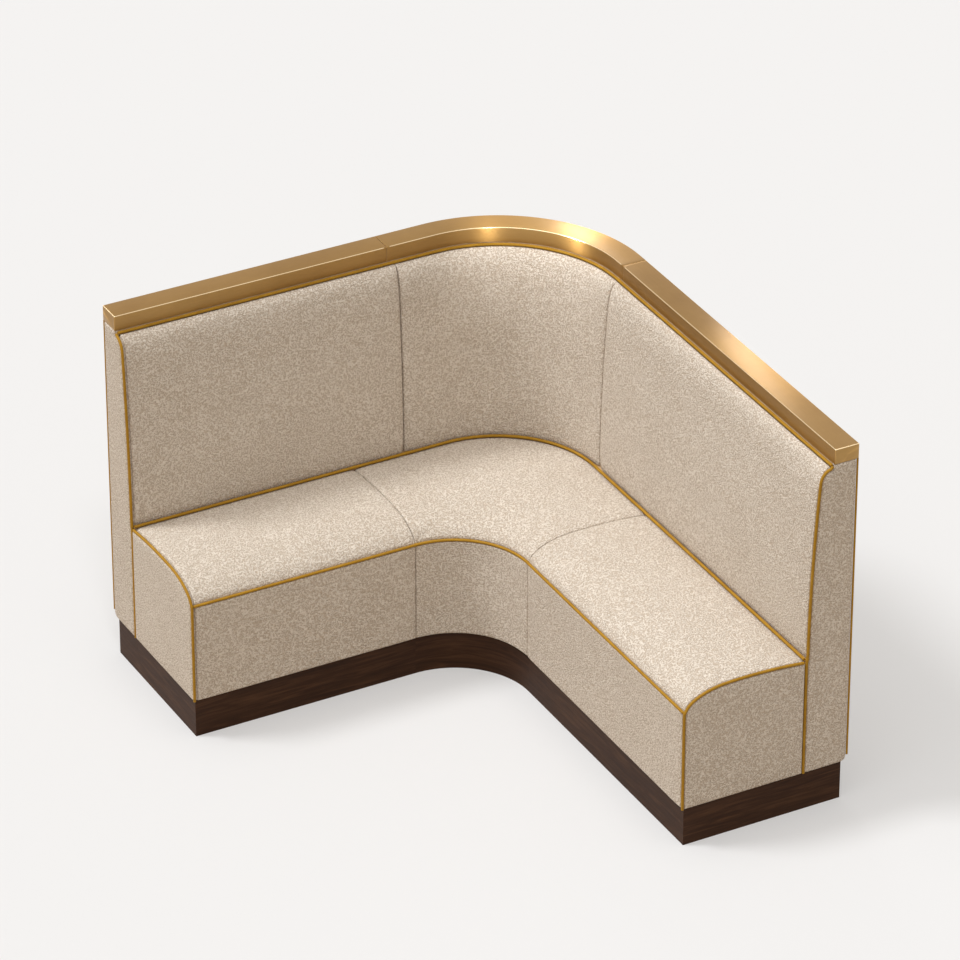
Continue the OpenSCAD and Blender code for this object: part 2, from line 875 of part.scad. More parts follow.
module bolt_nut(grip) {
  translate([0, 0, grip]) difference() {
    cylinder(h = nut_h, d = nut_w, $fn = 6);
    translate([0, 0, -over]) cylinder(h = nut_h + 2 * over, d = bolt_d + 2 * fixing_gap);
  }
}

// Puts a bolt at each place at a left-hand seam
module at_back_seam(seam) {
  for (share = back_bolt_shares)
    translate([seam - stud_w, back_bolt_s, overall_h * share]) rotate([0, 90, 0]) children();
}
module at_seat_seam() {
  for (share = seat_bolt_shares)
    translate([seat_seam - seat_rail_t, seat_bolt_s, seat_bolt_z(share)]) rotate([0, 90, 0]) children();
}

module frame_bolts() {
  color(steel_c) placed() {
    at_back_seam(back_seam_left) joining_bolt(2 * stud_w);
    to_right() at_back_seam(back_seam_right) joining_bolt(2 * stud_w);
    at_seat_seam() joining_bolt(2 * seat_rail_t);
    to_right() at_seat_seam() joining_bolt(2 * seat_rail_t);
  }
}

module frame_nuts() {
  color(steel_c) placed() {
    at_back_seam(back_seam_left) bolt_nut(2 * stud_w);
    to_right() at_back_seam(back_seam_right) bolt_nut(2 * stud_w);
    at_seat_seam() bolt_nut(2 * seat_rail_t);
    to_right() at_seat_seam() bolt_nut(2 * seat_rail_t);
  }
}

// A left-hand and a right-hand piece in place
module left() {
  placed() children();
}
module right() {
  placed() to_right() children();
}

left() plinth_front_straight(left_l);  // plinth_front_left
plinth_front_corner();
right() plinth_front_straight(right_l);  // plinth_front_right
left() plinth_back_straight(left_l);  // plinth_back_left
plinth_back_corner();
right() plinth_back_straight(right_l);  // plinth_back_right
left() plinth_end(left_l);  // plinth_end_left
right() plinth_end(right_l);  // plinth_end_right
plinth_cross_rails();
left() seat_frame_straight(left_l);  // seat_frame_left
seat_frame_corner();
right() seat_frame_straight(right_l);  // seat_frame_right
left() seat_deck_straight(left_l);  // seat_deck_left
seat_deck_corner();
right() seat_deck_straight(right_l);  // seat_deck_right
left() seat_cushion_straight(left_l);  // seat_cushion_left
seat_cushion_corner();
right() seat_cushion_straight(right_l);  // seat_cushion_right
left() fascia_straight(left_l);  // fascia_left
fascia_corner();
right() fascia_straight(right_l);  // fascia_right
left() seat_end(left_l);  // seat_end_left
right() seat_end(right_l);  // seat_end_right
left() back_frame_straight(left_l, back_seam_left, cap_joint_left);  // back_frame_left
back_frame_corner();
right() back_frame_straight(right_l, back_seam_right, cap_joint_right);  // back_frame_right
left() back_board_straight(left_l, back_seam_left);  // back_board_left
back_board_corner();
right() back_board_straight(right_l, back_seam_right);  // back_board_right
left() back_pad_straight(left_l, back_seam_left);  // back_pad_left
back_pad_corner();
right() back_pad_straight(right_l, back_seam_right);  // back_pad_right
left() outside_back_straight(left_l, back_seam_left);  // outside_back_left
outside_back_corner();
right() outside_back_straight(right_l, back_seam_right);  // outside_back_right
left() back_end(left_l);  // back_end_left
right() back_end(right_l);  // back_end_right
left() cap_core_straight(left_l, cap_joint_left);  // cap_core_left
cap_core_corner();
right() cap_core_straight(right_l, cap_joint_right);  // cap_core_right
left() cap_rail_straight(left_l, cap_joint_left);  // cap_rail_left
cap_rail_corner();
right() cap_rail_straight(right_l, cap_joint_right);  // cap_rail_right
cap_joint_plates();
cap_screws();
piping_under_rail();
piping_seat_back();
piping_seat_front();
left() piping_back_edge(left_l);  // piping_back_edge_left
right() piping_back_edge(right_l);  // piping_back_edge_right
left() piping_seat_edge(left_l);  // piping_seat_edge_left
right() piping_seat_edge(right_l);  // piping_seat_edge_right
left() piping_rear_edge(left_l);  // piping_rear_edge_left
right() piping_rear_edge(right_l);  // piping_rear_edge_right
frame_bolts();
frame_nuts();
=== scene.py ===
"""A corner banquette bench: covers, piping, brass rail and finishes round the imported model.

Places are given as on the real bench: u along a wing from the outer back corner,
s from the back plane towards the room, and z up, all in metres.
"""

import math

import bmesh
import bpy
import numpy as np
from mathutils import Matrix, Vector, geometry, noise


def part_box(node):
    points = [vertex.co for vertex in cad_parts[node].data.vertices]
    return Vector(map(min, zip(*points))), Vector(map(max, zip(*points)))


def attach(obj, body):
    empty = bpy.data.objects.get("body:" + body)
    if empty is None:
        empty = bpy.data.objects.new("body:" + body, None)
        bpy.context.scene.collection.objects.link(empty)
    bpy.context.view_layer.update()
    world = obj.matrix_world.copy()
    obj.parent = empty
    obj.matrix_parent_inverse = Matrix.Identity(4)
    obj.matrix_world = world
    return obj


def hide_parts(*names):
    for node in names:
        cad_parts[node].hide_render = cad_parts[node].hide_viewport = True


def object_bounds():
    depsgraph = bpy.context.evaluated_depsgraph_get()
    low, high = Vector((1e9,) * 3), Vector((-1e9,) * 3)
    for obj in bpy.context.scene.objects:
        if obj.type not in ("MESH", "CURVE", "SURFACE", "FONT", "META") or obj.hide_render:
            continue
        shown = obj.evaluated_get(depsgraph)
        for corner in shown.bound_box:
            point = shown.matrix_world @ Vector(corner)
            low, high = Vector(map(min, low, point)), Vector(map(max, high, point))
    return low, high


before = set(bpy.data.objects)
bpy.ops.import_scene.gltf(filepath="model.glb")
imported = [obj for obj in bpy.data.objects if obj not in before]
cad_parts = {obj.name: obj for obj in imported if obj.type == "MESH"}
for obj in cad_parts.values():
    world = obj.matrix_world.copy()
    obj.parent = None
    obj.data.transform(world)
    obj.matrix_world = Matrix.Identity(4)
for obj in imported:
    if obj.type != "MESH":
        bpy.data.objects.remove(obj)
CAD_LOW, CAD_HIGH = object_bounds()


def low(node):
    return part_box(node)[0]


def high(node):
    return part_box(node)[1]


def middle_z(node):
    return (low(node).z + high(node).z) / 2


MM = 0.001
# Room between pieces that meet
GAP = 0.3 * MM

# Sizes taken from the frame. In a name L is a length, W a width, H a height, T a thickness,
# D a diameter, R a radius, S a depth from the back plane and IN a distance inwards.
CORNER_X, CORNER_Y = CAD_HIGH.x, CAD_HIGH.y
LEFT_L = CORNER_X - low("cap_rail_left").x
RIGHT_L = CORNER_Y - low("cap_rail_right").y
CAP_W = high("cap_rail_left").y - low("cap_rail_left").y
TOP_Z, OVERALL_H = low("cap_rail_left").z, high("cap_rail_left").z
CAP_WALL = OVERALL_H - high("cap_core_left").z
DEPTH = CORNER_Y - low("fascia_left").y
PANEL_T = high("fascia_left").y - low("fascia_left").y
FASCIA_TOP = high("fascia_left").z
PLINTH_H = high("plinth_front_left").z
SEAT_SEAM = CORNER_X - low("fascia_corner").x
CORNER_R = CORNER_X - low("plinth_back_corner").x
BACK_SEAM_LEFT = CORNER_X - low("outside_back_corner").x
BACK_SEAM_RIGHT = CORNER_Y - low("outside_back_corner").y
OUTSIDE_T = high("outside_back_left").y - low("outside_back_left").y
CAP_JOINT_LEFT = CORNER_X - low("cap_rail_corner").x
CAP_JOINT_RIGHT = CORNER_Y - low("cap_rail_corner").y
BACK_T = CORNER_Y - high("seat_deck_left").y
DECK_TOP = high("seat_deck_left").z
BOARD_S = CORNER_Y - low("back_board_left").y
PIPING_D = high("piping_under_rail").z - low("piping_under_rail").z
PIPING_R = PIPING_D / 2
PIPING_OUT = CORNER_X - low("piping_back_edge_left").x - LEFT_L
PIPING_IN = PIPING_R - PIPING_OUT
EDGE_IN = PIPING_D - PIPING_OUT + GAP
SEAT_BACK_H = low("back_pad_left").z - GAP
SEAT_FRONT_H = FASCIA_TOP + EDGE_IN
PAD_TOP = high("back_pad_left").z
UNDER_Z = middle_z("piping_under_rail")
UNDER_S = CORNER_Y - high("piping_under_rail").y + PIPING_R
PANEL_R = low("piping_rear_edge_left").z - PLINTH_H
LIP_S = DEPTH - EDGE_IN

# Forms of the covers
SEAT_CROWN = 12 * MM
NOSE_W = 125 * MM
NOSE_H = SEAT_BACK_H - SEAT_FRONT_H
BACK_TOP_T = 118 * MM
BACK_BELLY = 5 * MM
# The back's rake ends ROLL_H below its top, and its soft roll starts lower
ROLL_H = 46 * MM
SOFT_ROLL_H = 76 * MM
ROLL_W = BACK_TOP_T - UNDER_S - PIPING_R
# Share of the face's lean that a pad's rear has
REAR_LEAN = 0.98
TUCK_H = 60 * MM
TUCK_IN = 7 * MM
SEAM_W = 32 * MM
BACK_SEAM_IN = 13 * MM
SEAT_SEAM_IN = 6 * MM
END_SEAM_IN = 5 * MM
# Each seam ends in a narrow slot, this wide and this share deeper than the seam
SLOT_W = 2.2 * MM
SLOT_SHARE = 0.7
# Step between the stations along a cover, and its closer places by a sewn end
STATION = 11 * MM
SEAM_PLACES = [d * MM for d in (0, 0.7, 1.5, 2.2, 3.4, 5.5, 9, 14, 20, 26)]


class Turn:
    """The way down the left wing, round one corner and up the right wing, measured at one depth.
    It is zero where the corner starts and below zero on the left wing."""

    def __init__(self, centre, depth):
        self.centre = centre
        self.arc = math.pi / 2 * (centre - depth)

    def left(self, u):
        return self.centre - u

    def right(self, u):
        return self.arc + u - self.centre

    def ring(self, way, outline):
        """Points of an outline, given as depth and height, at this way."""
        a = min(max(way / self.arc, 0), 1) * math.pi / 2
        c = self.centre
        p = c - c * math.sin(a) + max(-way, 0)
        q = c - c * math.cos(a) + max(way - self.arc, 0)
        return [
            (CORNER_X - p - math.sin(a) * s, CORNER_Y - q - math.cos(a) * s, z) for s, z in outline
        ]

    def point(self, way, s, z):
        return self.ring(way, [(s, z)])[0]


BACK = Turn(CORNER_R, BACK_T)
FRONT = Turn(SEAT_SEAM, DEPTH)
OUTER = Turn(CORNER_R, 0)
RAIL = Turn(CORNER_R, CAP_W)


def wing_length(right):
    return RIGHT_L if right else LEFT_L


def on_wing(right, u, s, z):
    """A point on the straight part of one wing."""
    return (CORNER_X - s, CORNER_Y - u, z) if right else (CORNER_X - u, CORNER_Y - s, z)


def new_object(name, data):
    piece = bpy.data.objects.new(name, data)
    bpy.context.scene.collection.objects.link(piece)
    return piece


def finished(name, bm, mesh):
    """A new smooth object from a mesh that was worked on, with outward normals."""
    bmesh.ops.recalc_face_normals(bm, faces=bm.faces)
    bm.to_mesh(mesh)
    bm.free()
    mesh.shade_smooth()
    return new_object(name, mesh)


def mesh_piece(name, points, faces, uvs=None):
    """A new object from points and faces, with a UV map in metres."""
    mesh = bpy.data.meshes.new(name)
    mesh.from_pydata([tuple(p) for p in points], [], faces)
    if uvs is not None:
        layer = mesh.uv_layers.new(name="cloth")
        for loop in mesh.loops:
            layer.data[loop.index].uv = uvs[loop.vertex_index]
    bm = bmesh.new()
    bm.from_mesh(mesh)
    return finished(name, bm, mesh)


def loft(name, rings, ways, sharp=50):
    """One closed skin through rings of points, with its first and last ring capped."""
    rings = np.array(rings, float)
    count, n = rings.shape[:2]
    middle = rings[count // 2]
    along = np.linalg.norm(np.diff(middle, axis=0, append=middle[:1]), axis=1)
    across = np.concatenate([[0], np.cumsum(along)[:-1]])
    faces = []
    for k in range(count - 1):
        for i in range(n):
            j = (i + 1) % n
            faces.append((k * n + i, (k + 1) * n + i, (k + 1) * n + j, k * n + j))
    faces.append(tuple(range(n)))
    faces.append(tuple((count - 1) * n + i for i in reversed(range(n))))
    uvs = [(ways[k], across[i]) for k in range(count) for i in range(n)]
    piece = mesh_piece(name, rings.reshape(-1, 3), faces, uvs)
    piece.data.set_sharp_from_angle(angle=math.radians(sharp))
    return piece


def stretch(start, end, step):
    """Evenly spaced places from start to end, no further apart than step."""
    return list(np.linspace(start, end, max(2, math.ceil(abs(end - start) / step) + 1)))


def quarter(step, first=0, last=90):
    """Cosine and sine of each angle from first to last, in degrees."""
    angles = [math.radians(a) for a in range(first, last + 1, step)]
    return [(math.cos(a), math.sin(a)) for a in angles]


def rounding(share):
    """A quarter-round fall from one to zero."""
    share = min(1, max(0, share))
    return 1 - math.sqrt(1 - (1 - share) ** 2)


def hump(distance, width):
    """A smooth rise to one at no distance."""
    return math.exp(-((distance / width) ** 2))


def cover_ways(start, end):
    """Stations along a cover, close together at its two sewn ends."""
    middle = stretch(start + SEAM_W, end - SEAM_W, STATION)
    return [start + d for d in SEAM_PLACES] + middle + [end - d for d in reversed(SEAM_PLACES)]


def drawn_in(way, start, end, start_in, end_in):
    """How far a cover is drawn in on its way from one sewn end to the other."""
    draw = 0
    for distance, depth in ((way - start, start_in), (end - way, end_in)):
        draw += depth * (rounding(distance / SEAM_W) + SLOT_SHARE * max(0, 1 - distance / SLOT_W))
    return draw


# Section lines, as depth and height


def plain_seat_z(s):
    """Height of the seat's top, with its crown and its rounded front."""
    share = (s - BACK_T) / (LIP_S - BACK_T)
    past = min(1, max(0, (s - LIP_S + NOSE_W) / NOSE_W))
    crown = SEAT_CROWN * 4 * share * (1 - share)
    return SEAT_BACK_H + crown - NOSE_H * (1 - math.sqrt(1 - past * past))


def seat_z(s):
    """The same with its tucked-in rear edge."""
    return plain_seat_z(s) - TUCK_IN / 2 * rounding((s - BACK_T) / (TUCK_H / 2))


# Depths of the seat's top line, closer together in its tuck and round its front
SEAT_DEPTHS = [BACK_T + GAP + d * MM for d in (0, 2, 5, 9, 14, 20)]
SEAT_DEPTHS += stretch(BACK_T + 28 * MM, LIP_S - NOSE_W, STATION)
SEAT_DEPTHS += [LIP_S - NOSE_W + NOSE_W * sine for _, sine in quarter(4, 4, 88)]
SEAT_DEPTHS += [LIP_S]


def cushion_outline(draw):
    """A seat cushion's section: up its rear, over its top and down to the lip."""
    rear = [(BACK_T + GAP, DECK_TOP + GAP), (BACK_T + GAP, (DECK_TOP + SEAT_BACK_H) / 2)]
    top = [(s, seat_z(s) - draw) for s in SEAT_DEPTHS]
    back = DEPTH - PANEL_T - GAP
    under = FASCIA_TOP + GAP - draw
    return rear + top + [(LIP_S, under), (back, under), (back, DECK_TOP + GAP)]


def rake(z):
    """Depth of the inside back's leaning face at this height."""
    share = (z - SEAT_BACK_H) / (PAD_TOP - ROLL_H - SEAT_BACK_H)
    return BACK_T + (BACK_TOP_T - BACK_T) * share + BACK_BELLY * 4 * share * (1 - share)


# Heights of the inside back's face, closer together in its tuck
FACE_HEIGHTS = [SEAT_BACK_H + GAP + d * MM for d in (0, 3, 7, 12, 20, 30)]
FACE_HEIGHTS += stretch(SEAT_BACK_H + 42 * MM, PAD_TOP - SOFT_ROLL_H, STATION)


def face_line(draw):
    """The inside back from the seat to its rolled top."""
    face = [
        (rake(z) - draw - TUCK_IN * rounding((z - SEAT_BACK_H) / TUCK_H), z) for z in FACE_HEIGHTS
    ]
    for c, s in quarter(6, 6, 84):
        z = PAD_TOP - SOFT_ROLL_H + SOFT_ROLL_H * s
        start = rake(min(z, PAD_TOP - ROLL_H))
        face.append((start - draw - (ROLL_W - draw) * (1 - c), z))
    face.append((BACK_TOP_T - ROLL_W, PAD_TOP))
    return face


def pad_outline(draw):
    """A back pad's section: up its face, over its roll and down its flat rear."""
    rear = BOARD_S + GAP
    lean = REAR_LEAN * (BACK_T - BACK_TOP_T)
    return face_line(draw) + [(rear - lean, PAD_TOP), (rear, SEAT_BACK_H + GAP)]


# Radius of the fascia's turned-over edges, and how much of its board the seams leave
FASCIA_EDGE = 6 * MM
FASCIA_LEAST_T = 2 * MM


def fascia_outline(draw):
    """A covered panel with its two long edges turned over."""
    draw = min(draw, PANEL_T - FASCIA_LEAST_T)
    back = DEPTH - PANEL_T
    mid = DEPTH - max(FASCIA_EDGE, draw)
    edge = max(0, FASCIA_EDGE - draw)
    points = [(back, FASCIA_TOP)]
    for c, s in reversed(quarter(15)):
        points.append((mid + edge * c, FASCIA_TOP - FASCIA_EDGE / 2 * (1 - s)))
    for z in stretch(FASCIA_TOP - FASCIA_EDGE, PLINTH_H + 1.5 * FASCIA_EDGE, STATION):
        points.append((DEPTH - draw, z))
    for c, s in quarter(15):
        points.append((mid + edge * c, PLINTH_H + FASCIA_EDGE * (1 - s)))
    points.append((back, PLINTH_H))
    return points


# The outside back is drawn in by this share of what a pad would be, and no more than this
OUTSIDE_SHARE = 0.4
OUTSIDE_MOST_IN = 5 * MM


def outside_outline(draw):
    """The outside back's section, with a small round at its top and bottom edges."""
    draw = min(OUTSIDE_SHARE * draw, OUTSIDE_MOST_IN)
    top = [(OUTSIDE_T, TOP_Z), (draw + 2 * MM, TOP_Z), (draw + 0.6 * MM, TOP_Z - 0.8 * MM)]
    face = [(draw, z) for z in stretch(TOP_Z - 3 * MM, PLINTH_H + 5 * MM, 3 * STATION)]
    foot = [(draw + 0.8 * MM, PLINTH_H + 1.5 * MM), (draw + 3 * MM, PLINTH_H)]
    return top + face + foot + [(OUTSIDE_T, PLINTH_H)]


# Cloth

# The padding's pressure on a cover, how far it may move it, and the frames it takes
PRESSURE = 3.0
SWELL_CAP = 4 * MM
SIM_FRAMES = 16
# Number of points in a section over which a cover goes from held to free
EASE_POINTS = 4
# Low waves of the padding, each as a height and a number to the metre
SEAT_WAVES = ((1.6 * MM, 5), (0.7 * MM, 16))
BACK_WAVES = ((1.6 * MM, 5), (0.6 * MM, 16))
FASCIA_WAVES = ((0.9 * MM, 6), (0.4 * MM, 18))


def vertex_values(mesh, key):
    """The place or the normal of each vertex, as rows of three."""
    found = np.zeros(len(mesh.vertices) * 3)
    mesh.vertices.foreach_get(key, found)
    return found.reshape(-1, 3)


def move_to(piece, places):
    piece.data.vertices.foreach_set("co", places.ravel())
    piece.data.update()


def softness(ways, count, first, last):
    """How free each point of a lofted cover is: one on its face and zero at its edges.
    The face runs from the first to the last of these places in a section of count points."""
    ways = np.array(ways)
    along = np.minimum(ways - ways[0], ways[-1] - ways) / SEAM_W
    index = np.arange(count)
    across = np.minimum(index - first, last - index) / EASE_POINTS
    free = np.clip(along, 0, 1)[:, None] * np.clip(across, 0, 1)[None, :]
    free = free * free * (3 - 2 * free)
    return free.ravel()


def swell(piece, free):
    """Fills a cover out against its own stretch while its sewn edges are held."""
    rest = vertex_values(piece.data, "co")
    group = piece.vertex_groups.new(name="sewn")
    group.add([int(i) for i in np.flatnonzero(free < 0.001)], 1.0, "REPLACE")
    cloth = piece.modifiers.new("cover", "CLOTH")
    cloth.settings.quality = 6
    cloth.settings.mass = 0.3
    cloth.settings.tension_stiffness = 30
    cloth.settings.compression_stiffness = 30
    cloth.settings.shear_stiffness = 12
    cloth.settings.bending_stiffness = 3
    cloth.settings.vertex_group_mass = "sewn"
    cloth.settings.use_pressure = True
    cloth.settings.uniform_pressure_force = PRESSURE
    cloth.settings.effector_weights.gravity = 0
    cloth.point_cache.frame_start = 1
    cloth.point_cache.frame_end = SIM_FRAMES
    for step in range(1, SIM_FRAMES + 1):
        bpy.context.scene.frame_set(step)
    settled = piece.evaluated_get(bpy.context.evaluated_depsgraph_get())
    move = vertex_values(settled.to_mesh(), "co") - rest
    settled.to_mesh_clear()
    reach = float(np.linalg.norm(move, axis=1).max())
    print(piece.name, "swelled by", round(reach / MM, 2), "mm")
    move *= min(1, SWELL_CAP / max(reach, 0.01 * MM)) * free[:, None]
    piece.modifiers.remove(cloth)
    piece.vertex_groups.remove(group)
    move_to(piece, rest + move)
    bpy.context.scene.frame_set(1)


def unevenness(piece, free, waves):
    """Low waves of the padding under a cover."""
    co = vertex_values(piece.data, "co")
    normals = vertex_values(piece.data, "normal")
    for i in np.flatnonzero(free > 0.01):
        lift = sum(height * noise.noise(Vector(co[i]) * number) for height, number in waves)
        co[i] += normals[i] * lift * free[i]
    move_to(piece, co)


def upholster(piece, free, waves):
    """Fills a pad's cover out, gives it the padding's low waves and smooths it."""
    swell(piece, free)
    unevenness(piece, free, waves)
    smooth = piece.modifiers.new("soft", "SUBSURF")
    smooth.levels = 1
    smooth.render_levels = 1


# Covers


def cover(name, turn, section, start, end, start_in, end_in):
    """A section swept along part of a turn, drawn in at its two sewn ends, and its stations."""
    ways = cover_ways(start, end)
    rings = [turn.ring(w, section(drawn_in(w, start, end, start_in, end_in))) for w in ways]
    return loft(name, rings, ways), ways


# The way along the corner seat's rear edge
SEAT_TURN = 2 * (SEAT_SEAM - CORNER_R) + math.pi / 2 * (CORNER_R - BACK_T)


def seat_corner_edges(share):
    """Rear and front edge of the corner seat at this share of the way round."""
    rear_r = CORNER_R - BACK_T
    arc = math.pi / 2 * rear_r
    run = share * SEAT_TURN - (SEAT_SEAM - CORNER_R)
    if run <= 0:
        rear = (CORNER_R - run, BACK_T)
    elif run >= arc:
        rear = (BACK_T, CORNER_R + run - arc)
    else:
        a = run / rear_r
        rear = (CORNER_R - rear_r * math.sin(a), CORNER_R - rear_r * math.cos(a))
    b = share * math.pi / 2
    r = SEAT_SEAM - DEPTH
    return rear, (SEAT_SEAM - r * math.sin(b), SEAT_SEAM - r * math.cos(b))


def corner_seat(name):
    """The corner cushion, whose rear edge is longer than its front, and its stations."""
    ways = cover_ways(0, SEAT_TURN)
    rings = []
    for way in ways:
        rear, front = seat_corner_edges(way / SEAT_TURN)
        ring = []
        for s, z in cushion_outline(drawn_in(way, 0, SEAT_TURN, SEAT_SEAM_IN, SEAT_SEAM_IN)):
            across = (s - BACK_T) / (DEPTH - BACK_T)
            p = min(rear[0] + (front[0] - rear[0]) * across, SEAT_SEAM - GAP)
            q = min(rear[1] + (front[1] - rear[1]) * across, SEAT_SEAM - GAP)
            ring.append((CORNER_X - p, CORNER_Y - q, z))
        rings.append(ring)
    return loft(name, rings, ways), ways


# End panels

# Spacing round an end panel and over its face, and how far in its rows lie, in millimetres
PANEL_STEP = 7 * MM
PANEL_GRID = 9 * MM
PANEL_ROWS = (0.5, 1.6, 3.4, 6.0)
PANEL_EDGE = 6 * MM
PANEL_CROWN = 2 * MM
PANEL_CROWN_W = 55 * MM


def panel_rise(distance):
    """How far an end panel's face stands out at this distance from its edge."""
    round_off = PANEL_EDGE * rounding(distance / PANEL_EDGE)
    return PANEL_CROWN * (1 - rounding(distance / PANEL_CROWN_W)) - round_off


def even_outline(points):
    """A closed outline with its points evenly close together along each side."""
    found = []
    for a, b in zip(points, points[1:] + points[:1]):
        count = max(1, math.ceil(math.dist(a, b) / PANEL_STEP))
        found += [tuple(p) for p in np.linspace(a, b, count, endpoint=False)]
    return found


def distance_to_loop(points, loop):
    """Distance of each point from a closed loop of straight stretches."""
    a = loop[None, :, :]
    way = np.roll(loop, -1, axis=0)[None, :, :] - a
    share = ((points[:, None, :] - a) * way).sum(2) / np.maximum((way * way).sum(2), 1e-12)
    near = a + way * np.clip(share, 0, 1)[:, :, None]
    return np.linalg.norm(points[:, None, :] - near, axis=2).min(1)


def inward_ways(loop):
    """At each point of an anticlockwise loop, the unit way into it."""
    ahead = np.roll(loop, -1, axis=0) - loop
    inward = np.stack([-ahead[:, 1], ahead[:, 0]], axis=1)
    inward /= np.linalg.norm(inward, axis=1)[:, None]
    inward = inward + np.roll(inward, 1, axis=0)
    inward /= np.linalg.norm(inward, axis=1)[:, None]
    return inward


def panel_face(loop):
    """Points and triangles that fill an anticlockwise loop."""
    inward = inward_ways(loop)
    rows = [loop] + [loop + inward * inset * MM for inset in PANEL_ROWS]
    lines = [np.arange(loop[:, i].min(), loop[:, i].max(), PANEL_GRID) for i in (0, 1)]
    grid = np.stack(np.meshgrid(*lines), axis=2).reshape(-1, 2)
    grid = grid[distance_to_loop(grid, loop) > PANEL_GRID]
    points = [Vector(p) for p in np.concatenate(rows + [grid])]
    n = len(loop)
    edges = [(i, (i + 1) % n) for i in range(n)]
    found, _, triangles, *_ = geometry.delaunay_2d_cdt(points, edges, [list(range(n))], 1, 1e-6)
    return np.array([tuple(p) for p in found]), triangles


def end_panel(name, outline, right):
    """A covered end panel with a turned-over edge and a low crown."""
    length = wing_length(right)
    loop = np.array(even_outline(outline))
    after = np.roll(loop, -1, axis=0)
    if np.sum(loop[:, 0] * after[:, 1] - after[:, 0] * loop[:, 1]) < 0:
        loop = loop[::-1].copy()
    points, triangles = panel_face(loop)
    rise = [panel_rise(d) for d in distance_to_loop(points, loop)]
    bm = bmesh.new()
    corners = [bm.verts.new(on_wing(right, length + up, s, z)) for (s, z), up in zip(points, rise)]
    for triangle in triangles:
        bm.faces.new([corners[i] for i in triangle])
    bmesh.ops.delete(bm, geom=[v for v in bm.verts if not v.link_faces], context="VERTS")
    rim = [e for e in bm.edges if e.is_boundary]
    made = bmesh.ops.extrude_edge_only(bm, edges=rim)["geom"]
    axis, origin = (1, CORNER_Y) if right else (0, CORNER_X)
    for part in made:
        if isinstance(part, bmesh.types.BMVert):
            part.co[axis] = origin - length + PANEL_T
    bmesh.ops.holes_fill(bm, edges=[e for e in bm.edges if e.is_boundary], sides=0)
    piece = finished(name, bm, bpy.data.meshes.new(name))
    piece.data.set_sharp_from_angle(angle=math.radians(60))
    return piece


def face_inset(cut):
    """The inside back's line with this much taken off square to it, as its edge piping runs."""
    top = PAD_TOP - ROLL_H
    heights = stretch(SEAT_BACK_H + GAP, top, 2 * STATION)
    found = [(rake(z) - GAP - cut, z) for z in heights]
    for c, s in quarter(8, 8):
        found.append((BACK_TOP_T - GAP - ROLL_W * (1 - c) - cut * c, top + (ROLL_H - cut) * s))
    return found


REAR_CORD_R = 3 * MM
# Points of a seat end's line keep this far from its corners
CORNER_FREE = 2 * MM


def back_end_outline():
    """From the rounded lower rear corner, along the foot, up the face and back under the rail."""
    rear = 2 * REAR_CORD_R + GAP
    front = BACK_T - PIPING_R - GAP
    neck = UNDER_S - PIPING_R - GAP
    corner = [
        (rear + PANEL_R * (1 - c), PLINTH_H + PANEL_R * (1 - s)) for c, s in quarter(15)
    ]
    face = [p for p in face_inset(EDGE_IN) if p[0] > neck]
    outline = corner + [(front, PLINTH_H), (front, SEAT_BACK_H - PIPING_D)] + face
    return outline + [(neck, PAD_TOP - EDGE_IN), (neck, TOP_Z), (rear, TOP_Z)]


def seat_end_outline():
    """Up beside the back, along the seat's line and down at its front."""
    start = BACK_T + PIPING_R + GAP
    depths = [s for s in SEAT_DEPTHS if start + CORNER_FREE < s < LIP_S - CORNER_FREE]
    top = [(s, plain_seat_z(s) - EDGE_IN) for s in depths]
    top = [p for p in top if p[1] > FASCIA_TOP - EDGE_IN + CORNER_FREE]
    outline = [(start, PLINTH_H), (start, plain_seat_z(start) - EDGE_IN)] + top
    return outline + [(LIP_S, FASCIA_TOP - EDGE_IN), (LIP_S, PLINTH_H)]


# Piping

CORD_R = 0.92 * PIPING_R
CORD_SIDES = 14
CORD_STEP = 8 * MM
# A cord is thicker by this share at a knot, with rings close together round it, in millimetres
KNOT_SHARE = 0.2
KNOT_W = 3 * MM
KNOT_PLACES = np.arange(-12, 12.1, 1.5)
# A level cord is pulled in at each seam
PULL_IN = 1.6 * MM
PULL_W = 11 * MM
# Spacing of the points on level stretches, round the corner and on upright stretches
LEVEL_STEP = 6 * MM
CORNER_STEP = 5 * MM
UPRIGHT_STEP = 30 * MM
# The cord over a seat end leaves the seat's line this high above the lip and turns down
LIP_TURN_H = 6 * MM
LIP_TURN_IN = 1.6 * MM
LIP_TURN_DOWN = 10 * MM
REAR_CORD_OUT = 0.5 * MM
# A direction that no cord starts along
ASIDE = (0.31, 0.17, 0.93)


def points_at(places, run, points):
    """Points of a route at these distances along it, from the distances of its own points."""
    return np.array([np.interp(places, run, points[:, i]) for i in range(3)]).T


